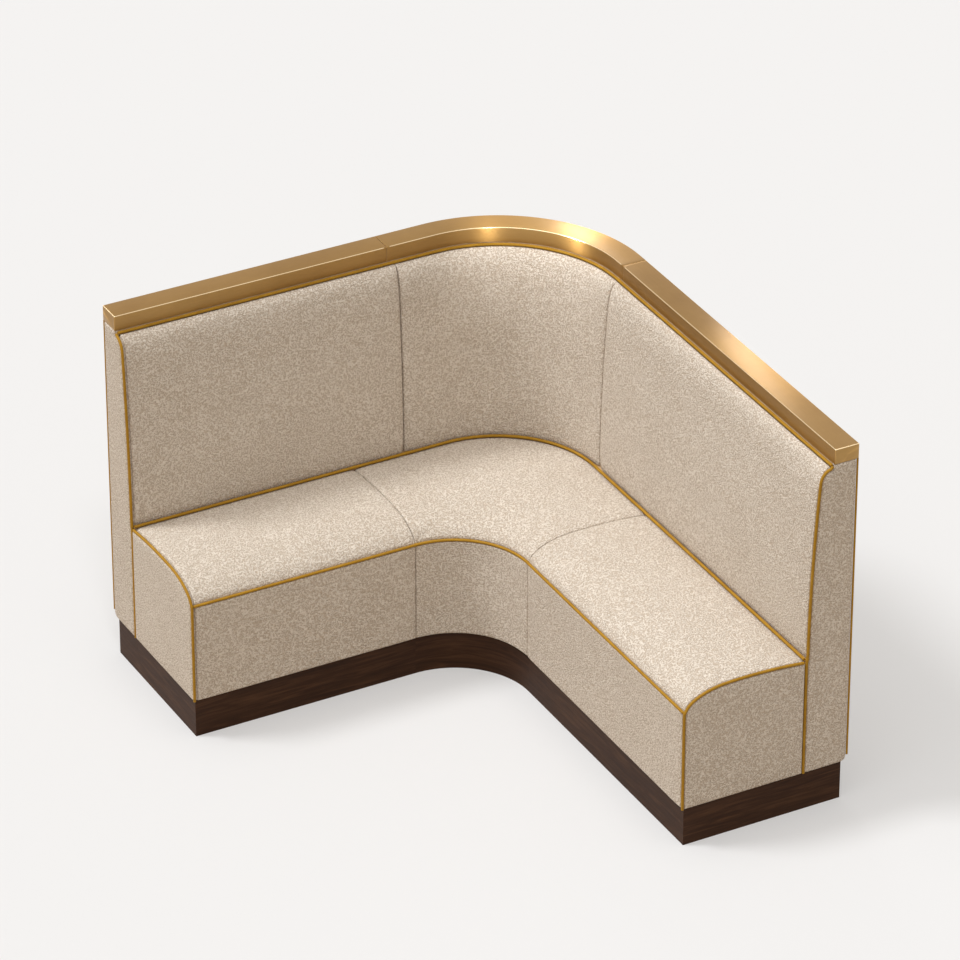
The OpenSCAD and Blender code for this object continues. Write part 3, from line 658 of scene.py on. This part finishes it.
def tube(name, points, radius, knots):
    """A round cord along points, evenly spaced, a little thicker where a seam is sewn into it."""
    points = np.array(points, float)
    run = np.concatenate([[0], np.cumsum(np.linalg.norm(np.diff(points, axis=0), axis=1))])
    fine = np.arange(0, run[-1], MM)
    dense = points_at(fine, run, points)
    marks = [fine[np.linalg.norm(dense - np.array(k), axis=1).argmin()] for k in knots]
    places = set(stretch(0, run[-1], CORD_STEP))
    for mark in marks:
        places |= {mark + d * MM for d in KNOT_PLACES if 0 < mark + d * MM < run[-1]}
    places = np.array(sorted(places))
    path = points_at(places, run, points)
    ways = np.gradient(path, axis=0)
    ways /= np.linalg.norm(ways, axis=1)[:, None]
    side = np.cross(ways[0], ASIDE)
    turn = np.linspace(0, 2 * math.pi, CORD_SIDES, endpoint=False)
    rings = []
    for place, p, way in zip(places, path, ways):
        side = side - way * side.dot(way)
        side /= np.linalg.norm(side)
        other = np.cross(way, side)
        swollen = radius * (1 + KNOT_SHARE * sum(hump(place - mark, KNOT_W) for mark in marks))
        rings.append(p + swollen * (np.cos(turn)[:, None] * side + np.sin(turn)[:, None] * other))
    return loft(name, rings, list(places), sharp=80)


def level_points(turn, s, z, left_end, right_end, seams):
    """Points along both wings at one depth and height, pulled in a little at the seams."""
    ways = stretch(turn.left(left_end), 0, LEVEL_STEP) + stretch(0, turn.arc, CORNER_STEP)[1:]
    ways += stretch(turn.arc, turn.right(right_end), LEVEL_STEP)[1:]
    found = []
    for way in ways:
        pull = PULL_IN * sum(hump(way - seam, PULL_W) for seam in seams)
        found.append(turn.point(way, s - pull, z - pull / 2))
    return found


def back_edge_points(right):
    """From the plinth up the inside back's edge and over its roll to the rail."""
    u = wing_length(right) - PIPING_IN
    line = [(BACK_T, z) for z in stretch(PLINTH_H, SEAT_BACK_H - PIPING_D, UPRIGHT_STEP)]
    line += [p for p in face_inset(PIPING_IN) if p[1] > SEAT_BACK_H + 2 * PIPING_D]
    line.append((UNDER_S, UNDER_Z))
    return [on_wing(right, u, s, z) for s, z in line]


def seat_edge_points(right):
    """From the back over the seat's edge and down its front corner to the plinth."""
    u = wing_length(right) - PIPING_IN
    front = DEPTH - PIPING_IN
    depths = [BACK_T + PIPING_D] + [s for s in SEAT_DEPTHS if s > BACK_T + 1.3 * PIPING_D]
    depths = [s for s in depths if plain_seat_z(s) > SEAT_FRONT_H + LIP_TURN_H]
    line = [(s, plain_seat_z(s) - PIPING_IN) for s in depths]
    line += [(front - LIP_TURN_IN, SEAT_FRONT_H - MM), (front, FASCIA_TOP)]
    line += [(front, z) for z in stretch(FASCIA_TOP - LIP_TURN_DOWN, PLINTH_H, UPRIGHT_STEP)]
    return [on_wing(right, u, s, z) for s, z in line]


def rear_edge_points(right):
    """Up the rear outer edge."""
    u = wing_length(right) - REAR_CORD_R + REAR_CORD_OUT
    heights = stretch(PLINTH_H + PANEL_R, TOP_Z, UPRIGHT_STEP)
    return [on_wing(right, u, REAR_CORD_R, z) for z in heights]


# Brass rail

ARRIS = 2.6 * MM
LEAST_ARRIS = 0.3 * MM
JOINT_ARRIS = 0.5 * MM
JOINT_GAP = 0.7 * MM
LOWER_CHAMFER = 0.6 * MM
RAIL_STEP = 8 * MM
# Depths behind a closed end's arris: the last that is solid, and the first that is hollow
END_WALL = ((0.2 * MM, True), (0.3 * MM, False))
# The upward part of a normal on a top arris lies between these; faces there take the pale brass, a
# painted highlight
ARRIS_SLOPE = (0.2, 0.98)
QUARTER = quarter(18)


def rail_outline(inset, solid):
    """The folded rail's section: its outer face with rounded arrises, and its inner face."""
    s0, s1, z0, z1 = inset, CAP_W - inset, TOP_Z + inset, OVERALL_H - inset
    r = max(LEAST_ARRIS, ARRIS - inset)
    outer = [(s1, z0 + LOWER_CHAMFER)]
    outer += [(s1 - r + r * c, z1 - r + r * s) for c, s in QUARTER]
    outer += [(s0 + r - r * s, z1 - r + r * c) for c, s in QUARTER]
    outer += [(s0, z0 + LOWER_CHAMFER), (s0 + LOWER_CHAMFER, z0)]
    inner_top = max(TOP_Z + 0.05 * MM if solid else OVERALL_H - CAP_WALL, z0)
    w0, w1 = CAP_WALL, CAP_W - CAP_WALL
    inner = [(w0, z0), (w0, inner_top), (w1, inner_top), (w1, z0)]
    return outer + inner + [(s1 - LOWER_CHAMFER, z0)]


def cap_rail(name, start, end, start_closed, end_closed):
    """A length of the rail, with an arris round each end and a closed outer end."""
    stations = []
    for place, sign, closed in ((start, 1, start_closed), (end, -1, end_closed)):
        arris = ARRIS if closed else JOINT_ARRIS
        place += 0 if closed else sign * JOINT_GAP
        rows = [(place + sign * arris * (1 - s), arris * (1 - c), closed) for c, s in QUARTER]
        rows = rows[::-1]
        if closed:
            rows += [(place + sign * (arris + depth), 0, solid) for depth, solid in END_WALL]
        stations.append(rows)
    head, tail = stations
    inner = [(w, 0, False) for w in stretch(head[-1][0], tail[-1][0], RAIL_STEP)[1:-1]]
    rows = head + inner + tail[::-1]
    rings = [RAIL.ring(way, rail_outline(inset, solid)) for way, inset, solid in rows]
    piece = loft(name, rings, [way for way, _, _ in rows], sharp=60)
    piece.data.materials.append(BRASS)
    piece.data.materials.append(ARRIS_HIGHLIGHT_BRASS)
    first = 0 if start_closed else len(head)
    last = len(rows) if end_closed else len(rows) - len(tail) - 1
    # Faces of the top arris take a smoother brass whose pale colour is a painted highlight
    for face in piece.data.polygons:
        slopes = ARRIS_SLOPE[0] < face.normal.z < ARRIS_SLOPE[1]
        on_arris = slopes and face.center.z > OVERALL_H - 2 * ARRIS
        if on_arris and first <= face.index // len(rings[0]) < last:
            face.material_index = 1
    return piece


# Materials


class Nodes:
    """Short calls for building one material's nodes."""

    def __init__(self, name):
        self.material = bpy.data.materials.new(name)
        self.material.use_nodes = True
        self.tree = self.material.node_tree
        self.shader = self.tree.nodes["Principled BSDF"]

    def add(self, kind, inputs=None, **settings):
        node = self.tree.nodes.new("ShaderNode" + kind)
        for key, value in settings.items():
            setattr(node, key, value)
        for key, value in (inputs or {}).items():
            self.put(node.inputs[key], value)
        return node

    def put(self, socket, value):
        """Sets a socket, or links it where the value is another node's output."""
        if isinstance(value, bpy.types.NodeSocket):
            self.tree.links.new(value, socket)
        else:
            socket.default_value = value

    def math(self, operation, a, b=None):
        node = self.add("Math", operation=operation)
        self.put(node.inputs[0], a)
        if b is not None:
            self.put(node.inputs[1], b)
        return node.outputs[0]

    def vector(self, operation, a, b):
        node = self.add("VectorMath", operation=operation)
        self.put(node.inputs[0], a)
        self.put(node.inputs[1], b)
        return node.outputs[0]

    def where(self):
        return self.add("TexCoord").outputs["Object"]

    def noise(self, where, scale, detail, roughness=0.5, distortion=0.0):
        """A noise's factor and colour."""
        inputs = {"Vector": where, "Scale": scale, "Detail": detail, "Roughness": roughness}
        node = self.add("TexNoise", {**inputs, "Distortion": distortion})
        return node.outputs["Fac"], node.outputs["Color"]

    def total(self, *weighted):
        """The sum of each factor times its weight."""
        found = None
        for factor, weight in weighted:
            part = self.math("MULTIPLY", factor, weight)
            found = part if found is None else self.math("ADD", found, part)
        return found

    def ramp(self, factor, stops):
        """The colour at a factor, between stops of place and colour."""
        node = self.add("ValToRGB", {"Fac": factor})
        elements = node.color_ramp.elements
        while len(elements) < len(stops):
            elements.new(0.5)
        for element, (place, colour) in zip(elements, stops):
            element.position = place
            element.color = (*colour, 1)
        return node.outputs["Color"]

    def bump(self, height, strength, distance):
        node = self.add("Bump", {"Height": height, "Strength": strength, "Distance": distance})
        self.put(self.shader.inputs["Normal"], node.outputs["Normal"])

    def set(self, **values):
        """Sets the shader's sockets, named with low lines for spaces."""
        for key, value in values.items():
            self.put(self.shader.inputs[key.replace("_", " ")], value)
        return self.material


def boucle():
    """Looped wool cloth: pale curls that wind over a taupe ground, with painted shade in the
    troughs between them.
    """
    n = Nodes("boucle")
    where = n.where()
    _, drift = n.noise(where, 200, 1)
    drift = n.vector("SUBTRACT", drift, (0.5, 0.5, 0.5))
    drift = n.vector("MULTIPLY", drift, (0.005, 0.005, 0.005))
    field, _ = n.noise(n.vector("ADD", where, drift), 215, 0)
    turns = n.math("MULTIPLY", n.math("SUBTRACT", field, 0.5), 12.0)
    curls = n.math("ADD", n.math("MULTIPLY", n.math("SINE", turns), 0.5), 0.5)
    breaks, _ = n.noise(where, 260, 2, 0.6)
    flecks, _ = n.noise(where, 520, 1)
    broad, _ = n.noise(where, 6, 3)
    # Much of this tone stands in for the curls' relief: darker troughs are painted shade and paler
    # crests a painted highlight, over the cloth's own cream and taupe
    tone = n.total((curls, 0.42), (breaks, 0.25), (flecks, 0.20), (broad, 0.08))
    tone = n.math("ADD", tone, 0.165)
    # The darkest stop is mostly painted shade in the troughs between curls
    stops = [
        (0.10, (0.22, 0.155, 0.105)),
        (0.40, (0.50, 0.41, 0.32)),
        (0.62, (0.725, 0.63, 0.53)),
        (0.90, (0.85, 0.785, 0.70)),
    ]
    n.bump(n.total((curls, 0.9), (breaks, 0.5), (flecks, 0.2)), 0.75, 0.003)
    n.shader.inputs["Sheen Tint"].default_value = (0.95, 0.90, 0.83, 1)
    return n.set(
        Base_Color=n.ramp(tone, stops),
        Roughness=n.math("ADD", n.math("MULTIPLY", flecks, 0.1), 0.85),
        Sheen_Weight=0.08,
        Sheen_Roughness=0.5,
        Specular_IOR_Level=0.1,
    )


def cord_cloth():
    """Mustard piping cloth with its bias weave."""
    n = Nodes("piping_cloth")
    uv = n.add("UVMap", uv_map="cloth").outputs["UV"]
    inputs = {"Vector": uv, "Scale": 260.0, "Distortion": 1.5, "Detail": 1.0}
    weave = n.add("TexWave", inputs, bands_direction="DIAGONAL").outputs["Fac"]
    worn, _ = n.noise(n.where(), 25, 3)
    fuzz, _ = n.noise(n.where(), 900, 2)
    tone = n.total((weave, 0.35), (worn, 0.45), (fuzz, 0.2))
    stops = [
        (0.15, (0.24, 0.115, 0.006)),
        (0.5, (0.40, 0.205, 0.012)),
        (0.85, (0.56, 0.32, 0.032)),
    ]
    n.bump(n.math("ADD", weave, fuzz), 0.35, 0.0008)
    n.shader.inputs["Sheen Tint"].default_value = (0.95, 0.78, 0.40, 1)
    return n.set(
        Base_Color=n.ramp(tone, stops),
        Roughness=n.math("ADD", n.math("MULTIPLY", fuzz, 0.2), 0.5),
        Sheen_Weight=0.02,
        Sheen_Roughness=0.4,
        Specular_IOR_Level=0.22,
    )


def brass(name, light, dark, roughness):
    """Brushed brass, its fine lines running along the rail."""
    n = Nodes(name)
    uv = n.add("UVMap", uv_map="cloth").outputs["UV"]
    lines, _ = n.noise(n.vector("MULTIPLY", uv, (10, 1400, 1)), 1.0, 3, 0.65)
    cloud, _ = n.noise(n.where(), 4, 4, 0.6)
    spots, _ = n.noise(n.where(), 50, 3, 0.6)
    tone = n.total((lines, 0.45), (cloud, 0.55))
    n.bump(lines, 0.12, 0.0003)
    tangent = n.add("Tangent", direction_type="UV_MAP", uv_map="cloth")
    n.put(n.shader.inputs["Tangent"], tangent.outputs["Tangent"])
    return n.set(
        Base_Color=n.ramp(tone, [(0.32, dark), (0.68, light)]),
        Metallic=1.0,
        Roughness=n.math("ADD", n.total((lines, 0.1), (spots, 0.08)), roughness - 0.09),
        Anisotropic=0.97,
        Anisotropic_Rotation=0.25,
        Coat_Weight=0.35,
        Coat_Roughness=0.32,
    )


def walnut(name, grain):
    """Dark walnut, its grain level along x, along y, or round the corner centred this far in."""
    n = Nodes(name)
    where = n.where()
    if grain == "x":
        along = n.vector("MULTIPLY", where, (1, 14, 14))
    elif grain == "y":
        along = n.vector("MULTIPLY", where, (14, 1, 14))
    else:
        centred = n.vector("SUBTRACT", where, (CORNER_X - grain, CORNER_Y - grain, 0))
        parts = n.add("SeparateXYZ", {"Vector": centred})
        angle = n.math("ARCTAN2", parts.outputs["Y"], parts.outputs["X"])
        joined = n.add("CombineXYZ")
        n.put(joined.inputs["X"], n.math("MULTIPLY", angle, 0.25))
        n.put(joined.inputs["Z"], n.math("MULTIPLY", parts.outputs["Z"], 14.0))
        along = joined.outputs["Vector"]
    figure, _ = n.noise(along, 5, 4, 0.6, 1.2)
    pores, _ = n.noise(n.vector("MULTIPLY", along, (1, 6, 6)), 16, 3, 0.7)
    broad, _ = n.noise(where, 3, 3)
    tone = n.total((figure, 0.55), (pores, 0.3), (broad, 0.15))
    stops = [
        (0.30, (0.016, 0.006, 0.0025)),
        (0.5, (0.044, 0.018, 0.008)),
        (0.72, (0.098, 0.046, 0.022)),
    ]
    n.bump(n.math("ADD", pores, n.math("MULTIPLY", figure, 0.5)), 0.2, 0.0006)
    return n.set(
        Base_Color=n.ramp(tone, stops),
        Roughness=n.math("ADD", n.math("MULTIPLY", pores, 0.25), 0.38),
        Specular_IOR_Level=0.12,
    )


def timber():
    """Sawn softwood with wide growth rings."""
    n = Nodes("timber")
    where = n.where()
    stretched = n.vector("MULTIPLY", where, (2, 2, 12))
    inputs = {"Vector": stretched, "Scale": 3.0, "Distortion": 6.0, "Detail": 3.0}
    rings = n.add("TexWave", inputs).outputs["Fac"]
    fine, _ = n.noise(where, 120, 3)
    n.bump(fine, 0.2, 0.0006)
    stops = [(0.2, (0.42, 0.26, 0.13)), (0.8, (0.66, 0.47, 0.27))]
    tone = n.total((rings, 0.6), (fine, 0.4))
    return n.set(Base_Color=n.ramp(tone, stops), Roughness=n.math("ADD", fine, 0.15))


def plywood():
    """Birch plywood with level plies."""
    n = Nodes("plywood")
    where = n.where()
    inputs = {"Vector": where, "Scale": 60.0, "Distortion": 0.4}
    plies = n.add("TexWave", inputs, bands_direction="Z").outputs["Fac"]
    face, _ = n.noise(n.vector("MULTIPLY", where, (3, 30, 30)), 4, 4, 0.6, 0.8)
    n.bump(face, 0.15, 0.0005)
    stops = [(0.25, (0.45, 0.31, 0.17)), (0.75, (0.70, 0.55, 0.36))]
    tone = n.total((plies, 0.4), (face, 0.6))
    return n.set(Base_Color=n.ramp(tone, stops), Roughness=n.math("ADD", face, 0.2))


def steel():
    """Zinc-plated steel with its faint crystals."""
    n = Nodes("zinc_steel")
    where = n.where()
    cells = n.add("TexVoronoi", {"Vector": where, "Scale": 600.0}).outputs["Distance"]
    marks, _ = n.noise(where, 300, 3)
    n.bump(marks, 0.15, 0.0002)
    return n.set(
        Base_Color=n.ramp(cells, [(0.1, (0.50, 0.51, 0.53)), (0.8, (0.66, 0.67, 0.68))]),
        Metallic=1.0,
        Roughness=n.math("ADD", n.math("MULTIPLY", marks, 0.3), 0.2),
    )


FABRIC = boucle()
CORD = cord_cloth()
BRASS = brass("brushed_brass", (0.51, 0.30, 0.095), (0.38, 0.21, 0.06), 0.44)
# Smoother brass for the top arris, its pale colour a painted highlight along the edge
ARRIS_HIGHLIGHT_BRASS = brass("smooth_arris_painted_highlight", (0.95, 0.76, 0.48), (0.88, 0.66, 0.38), 0.28)
WALNUT_X = walnut("walnut_left_wing", "x")
WALNUT_Y = walnut("walnut_right_wing", "y")
WALNUT_FRONT = walnut("walnut_front_corner", SEAT_SEAM)
WALNUT_BACK = walnut("walnut_back_corner", CORNER_R)
TIMBER = timber()
PLYWOOD = plywood()
STEEL = steel()


# Pieces


def dress(piece, material, slot, *nodes):
    """Gives a piece its finish and its body, and hides the CAD nodes that it stands for."""
    if material:
        piece.data.materials.append(material)
    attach(piece, "root")
    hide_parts(*nodes)


def cushion_ends(turn):
    """Where the covers stop, inside the end panels of the left and the right wing."""
    return turn.left(LEFT_L - PANEL_T - GAP), turn.right(RIGHT_L - PANEL_T - GAP)


def make_seats():
    left_end, right_end = cushion_ends(FRONT)
    spans = {
        "left": (left_end, -GAP, END_SEAM_IN, SEAT_SEAM_IN),
        "corner": None,
        "right": (FRONT.arc + GAP, right_end, SEAT_SEAM_IN, END_SEAM_IN),
    }
    count = len(cushion_outline(0))
    # The top line comes after the two points of the rear
    first = 2
    last = first + len(SEAT_DEPTHS) - 1
    for part, span in spans.items():
        name = "seat_cover_" + part
        if span:
            piece, ways = cover(name, FRONT, cushion_outline, *span)
        else:
            piece, ways = corner_seat(name)
        upholster(piece, softness(ways, count, first, last), SEAT_WAVES)
        dress(piece, FABRIC, "fabric", "seat_cushion_" + part)


def make_backs():
    left_end, right_end = cushion_ends(BACK)
    left_seam, right_seam = BACK.left(BACK_SEAM_LEFT), BACK.right(BACK_SEAM_RIGHT)
    spans = {
        "left": (left_end, left_seam - GAP, END_SEAM_IN, BACK_SEAM_IN),
        "corner": (left_seam + GAP, right_seam - GAP, BACK_SEAM_IN, BACK_SEAM_IN),
        "right": (right_seam + GAP, right_end, BACK_SEAM_IN, END_SEAM_IN),
    }
    count = len(pad_outline(0))
    last = len(face_line(0)) - 1
    for part, span in spans.items():
        piece, ways = cover("back_cover_" + part, BACK, pad_outline, *span)
        upholster(piece, softness(ways, count, 0, last), BACK_WAVES)
        dress(piece, FABRIC, "fabric", "back_pad_" + part)


def make_outside_backs():
    left_seam, right_seam = OUTER.left(BACK_SEAM_LEFT), OUTER.right(BACK_SEAM_RIGHT)
    spans = {
        "left": (OUTER.left(LEFT_L - PIPING_D), left_seam),
        "corner": (left_seam, right_seam),
        "right": (right_seam, OUTER.right(RIGHT_L - PIPING_D)),
    }
    seams = (BACK_SEAM_IN, BACK_SEAM_IN)
    for part, span in spans.items():
        piece, _ = cover("outside_cover_" + part, OUTER, outside_outline, *span, *seams)
        dress(piece, FABRIC, "fabric", "outside_back_" + part)


def make_fascias():
    left_end, right_end = cushion_ends(FRONT)
    spans = {
        "left": (left_end, -GAP),
        "corner": (0, FRONT.arc),
        "right": (FRONT.arc + GAP, right_end),
    }
    seams = (SEAT_SEAM_IN, SEAT_SEAM_IN)
    count = len(fascia_outline(0))
    # The face lies between two turned-over edges that each have a point behind
    first = 1 + len(quarter(15))
    last = count - 1 - first
    for part, span in spans.items():
        piece, ways = cover("fascia_cover_" + part, FRONT, fascia_outline, *span, *seams)
        unevenness(piece, softness(ways, count, first, last), FASCIA_WAVES)
        dress(piece, FABRIC, "fabric", "fascia_" + part)


def make_ends():
    for part, right in (("left", False), ("right", True)):
        for kind, outline in (("seat", seat_end_outline()), ("back", back_end_outline())):
            piece = end_panel(f"{kind}_end_cover_{part}", outline, right)
            dress(piece, FABRIC, "fabric", f"{kind}_end_{part}")


def make_piping():
    left_end, right_end = LEFT_L - EDGE_IN, RIGHT_L - EDGE_IN
    seat_back_s = BACK_T + PIPING_R + GAP
    seat_back_z = middle_z("piping_seat_back")
    front_s, front_z = DEPTH - PIPING_IN, SEAT_FRONT_H - PIPING_IN
    back_seams = [BACK.left(BACK_SEAM_LEFT), BACK.right(BACK_SEAM_RIGHT)]
    seat_seams = [BACK.left(SEAT_SEAM), BACK.right(SEAT_SEAM)]
    front_seams = [0, FRONT.arc]
    level = {
        "under_rail": (BACK, UNDER_S, UNDER_Z, back_seams),
        "seat_back": (BACK, seat_back_s, seat_back_z, back_seams + seat_seams),
        "seat_front": (FRONT, front_s, front_z, front_seams),
    }
    for part, (turn, s, z, seams) in level.items():
        points = level_points(turn, s, z, left_end, right_end, seams)
        knots = [turn.point(way, s, z) for way in seams]
        dress(tube("cord_" + part, points, CORD_R, knots), CORD, "piping", "piping_" + part)
    for part, right in (("left", False), ("right", True)):
        u = wing_length(right) - PIPING_IN
        back_knot = on_wing(right, u, BACK_T, seat_back_z)
        front_knot = on_wing(right, u, front_s, front_z)
        runs = {
            "back_edge": (back_edge_points(right), CORD_R, [back_knot]),
            "seat_edge": (seat_edge_points(right), CORD_R, [front_knot]),
            "rear_edge": (rear_edge_points(right), REAR_CORD_R, []),
        }
        for run, (points, radius, knots) in runs.items():
            name = f"{run}_{part}"
            dress(tube("cord_" + name, points, radius, knots), CORD, "piping", "piping_" + name)


def make_rail():
    left_joint, right_joint = RAIL.left(CAP_JOINT_LEFT), RAIL.right(CAP_JOINT_RIGHT)
    spans = {
        "left": (RAIL.left(LEFT_L), left_joint, True, False),
        "corner": (left_joint, right_joint, False, False),
        "right": (right_joint, RAIL.right(RIGHT_L), False, True),
    }
    for part, span in spans.items():
        dress(cap_rail("brass_rail_" + part, *span), None, "brass", "cap_rail_" + part)


# Finishes of the CAD nodes that stay, by the start of their names
FINISHES = {
    "plinth_front_left": WALNUT_X,
    "plinth_front_corner": WALNUT_FRONT,
    "plinth_front_right": WALNUT_Y,
    "plinth_back_left": WALNUT_X,
    "plinth_back_corner": WALNUT_BACK,
    "plinth_back_right": WALNUT_Y,
    "plinth_end_left": WALNUT_Y,
    "plinth_end_right": WALNUT_X,
    "plinth_cross": TIMBER,
    "seat_frame": TIMBER,
    "back_frame": TIMBER,
    "cap_core": TIMBER,
    "seat_deck": PLYWOOD,
    "back_board": PLYWOOD,
    "cap_joint_plates": BRASS,
    "cap_screws": STEEL,
    "frame_bolts": STEEL,
    "frame_nuts": STEEL,
}
PLINTH_ARRIS = 1.5 * MM


def finish_nodes():
    """Finishes the CAD nodes that stay, and rounds the plinth boards' arrises."""
    for name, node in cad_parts.items():
        if node.hide_render:
            continue
        for start, material in FINISHES.items():
            if name.startswith(start):
                for place in node.material_slots:
                    place.material = material
                if not node.material_slots:
                    node.data.materials.append(material)
        if name.startswith("plinth_") and "cross" not in name:
            edge = node.modifiers.new("arris", "BEVEL")
            edge.width = PLINTH_ARRIS
            edge.segments = 2
            edge.limit_method = "ANGLE"


# Studio

# The pale ground as it is seen, and what the floor and the world give as light
PALE = (0.913, 0.896, 0.880)
FLOOR_BOUNCE = (0.44, 0.37, 0.30)
WORLD_LIGHT = (1.0, 0.93, 0.84)
AMBIENT = 0.44
# Share of the lit floor, with its shadows, in what is seen, and the light on it away from them
SHADOW_SHARE = 0.65
FLOOR_LIGHT = (1.305, 1.272, 1.230)
FLOOR_HALF = 30.0


def pale_to_the_eye(tree):
    """A factor that is one for camera, glossy and transmitted rays."""
    path = tree.nodes.new("ShaderNodeLightPath")
    total = path.outputs["Is Camera Ray"]
    for other in ("Is Glossy Ray", "Is Transmission Ray"):
        node = tree.nodes.new("ShaderNodeMath")
        node.operation = "MAXIMUM"
        tree.links.new(total, node.inputs[0])
        tree.links.new(path.outputs[other], node.inputs[1])
        total = node.outputs[0]
    return total


def coloured(tree, kind, colour):
    """A shader node of this kind and colour."""
    node = tree.nodes.new("ShaderNode" + kind)
    node.inputs["Color"].default_value = (*colour, 1)
    return node


def mixed(tree, first, second):
    """A node that mixes the outputs of two shader nodes, its share still to be set."""
    node = tree.nodes.new("ShaderNodeMixShader")
    tree.links.new(first.outputs[0], node.inputs[1])
    tree.links.new(second.outputs[0], node.inputs[2])
    return node


def show(tree, kind, light, seen):
    """Ends a tree with one shader that gives light and another that is seen."""
    node = mixed(tree, light, seen)
    tree.links.new(pale_to_the_eye(tree), node.inputs[0])
    tree.links.new(node.outputs[0], tree.nodes.new("ShaderNodeOutput" + kind).inputs["Surface"])


def make_world():
    world = bpy.data.worlds.new("studio")
    bpy.context.scene.world = world
    world.use_nodes = True
    tree = world.node_tree
    tree.nodes.clear()
    light = coloured(tree, "Background", WORLD_LIGHT)
    light.inputs["Strength"].default_value = AMBIENT
    show(tree, "World", light, coloured(tree, "Background", PALE))


def make_floor():
    """A pale floor: evenly pale to the eye, with a soft share of the shadows."""
    corners = [(-1, -1), (1, -1), (1, 1), (-1, 1)]
    points = [(x * FLOOR_HALF, y * FLOOR_HALF, 0) for x, y in corners]
    floor = mesh_piece("floor", points, [(0, 1, 2, 3)])
    material = bpy.data.materials.new("floor")
    material.use_nodes = True
    tree = material.node_tree
    tree.nodes.clear()
    bounce = coloured(tree, "BsdfDiffuse", FLOOR_BOUNCE)
    lit = coloured(tree, "BsdfDiffuse", [c / light for c, light in zip(PALE, FLOOR_LIGHT)])
    seen = mixed(tree, coloured(tree, "Emission", PALE), lit)
    seen.inputs[0].default_value = SHADOW_SHARE
    show(tree, "Material", bounce, seen)
    floor.data.materials.append(material)


def lamp(name, kind, aim, direction, distance, power):
    """A lamp at a distance in this direction from where it is aimed."""
    light = bpy.data.lights.new(name, kind)
    light.energy = power
    piece = new_object(name, light)
    away = Vector(direction).normalized()
    piece.location = Vector(aim) + away * distance
    piece.rotation_mode = "QUATERNION"
    piece.rotation_quaternion = away.to_track_quat("Z", "Y")
    piece.visible_camera = False
    return light


def softbox(name, aim, direction, distance, size, strength, spread):
    """A rectangular lamp that gives this irradiance where it is aimed, within a cone."""
    half = math.radians(spread / 2)
    power = strength * math.pi * distance * distance * (1 - half / math.tan(half))
    light = lamp(name, "AREA", aim, direction, distance, power)
    light.shape = "RECTANGLE"
    light.size, light.size_y = size
    light.spread = math.radians(spread)


def far_lamp(name, direction, strength, spread):
    """A lamp so far away that its light falls from one direction, within a cone."""
    light = lamp(name, "SUN", (0, 0, 0), direction, distance=5, power=strength)
    light.angle = math.radians(spread)


def on_rail(angle, s, above=0):
    """A point of the rail's curve, this many degrees round from the left wing."""
    return RAIL.point(RAIL.arc * angle / 90, s, OVERALL_H + above)


def make_lights():
    """The studio's light, and small lamps for the gleams on the rail's top and front."""
    far_lamp("key", (-0.27, -0.05, 0.96), strength=1.2, spread=60)
    far_lamp("front", (-0.184, -0.543, 0.819), strength=0.4, spread=8)
    far_lamp("left", (-0.505, 0.273, 0.819), strength=1.5, spread=14)
    behind = (0.42, 0.74, 0.53)
    aim = on_wing(True, 1.14, CAP_W / 2, OVERALL_H)
    softbox("gleam_straight", aim, behind, 0.7, (0.14, 0.35), strength=0.95, spread=80)
    aim = on_rail(60, CAP_W / 2)
    softbox("gleam_curve", aim, behind, 0.7, (0.10, 0.25), strength=0.9, spread=80)
    aim = on_rail(24, CAP_W, above=0.10)
    softbox("gleam_front", aim, (-0.35, -0.93, 0.03), 1.8, (0.06, 0.5), strength=2.6, spread=14)
    aim = on_rail(61, CAP_W, above=0.10)
    softbox("gleam_side", aim, (-0.98, 0.08, 0.15), 1.8, (0.06, 0.5), strength=3.4, spread=14)


# The camera's place from the outer back corner, its turn and tilt, and its focal length in pixels
CAMERA_FROM_CORNER = (-7.3245, -13.1486, 9.1338)
CAMERA_YAW = 28.23
CAMERA_PITCH = -30.82
FOCAL_PIXELS = 6000
FRAME_PIXELS = 960
SENSOR_W = 36
FARTHEST = 200


def make_camera():
    data = bpy.data.cameras.new("camera")
    data.sensor_width = SENSOR_W
    data.lens = data.sensor_width * FOCAL_PIXELS / FRAME_PIXELS
    data.clip_end = FARTHEST
    camera = new_object("camera", data)
    x, y, z = CAMERA_FROM_CORNER
    camera.location = (CORNER_X + x, CORNER_Y + y, z)
    camera.rotation_euler = (math.radians(90 + CAMERA_PITCH), 0, math.radians(-CAMERA_YAW))
    bpy.context.scene.camera = camera


make_camera()
make_seats()
make_backs()
make_outside_backs()
make_fascias()
make_ends()
make_piping()
make_rail()
finish_nodes()
make_world()
make_floor()
make_lights()
bpy.context.scene.view_settings.view_transform = "Standard"
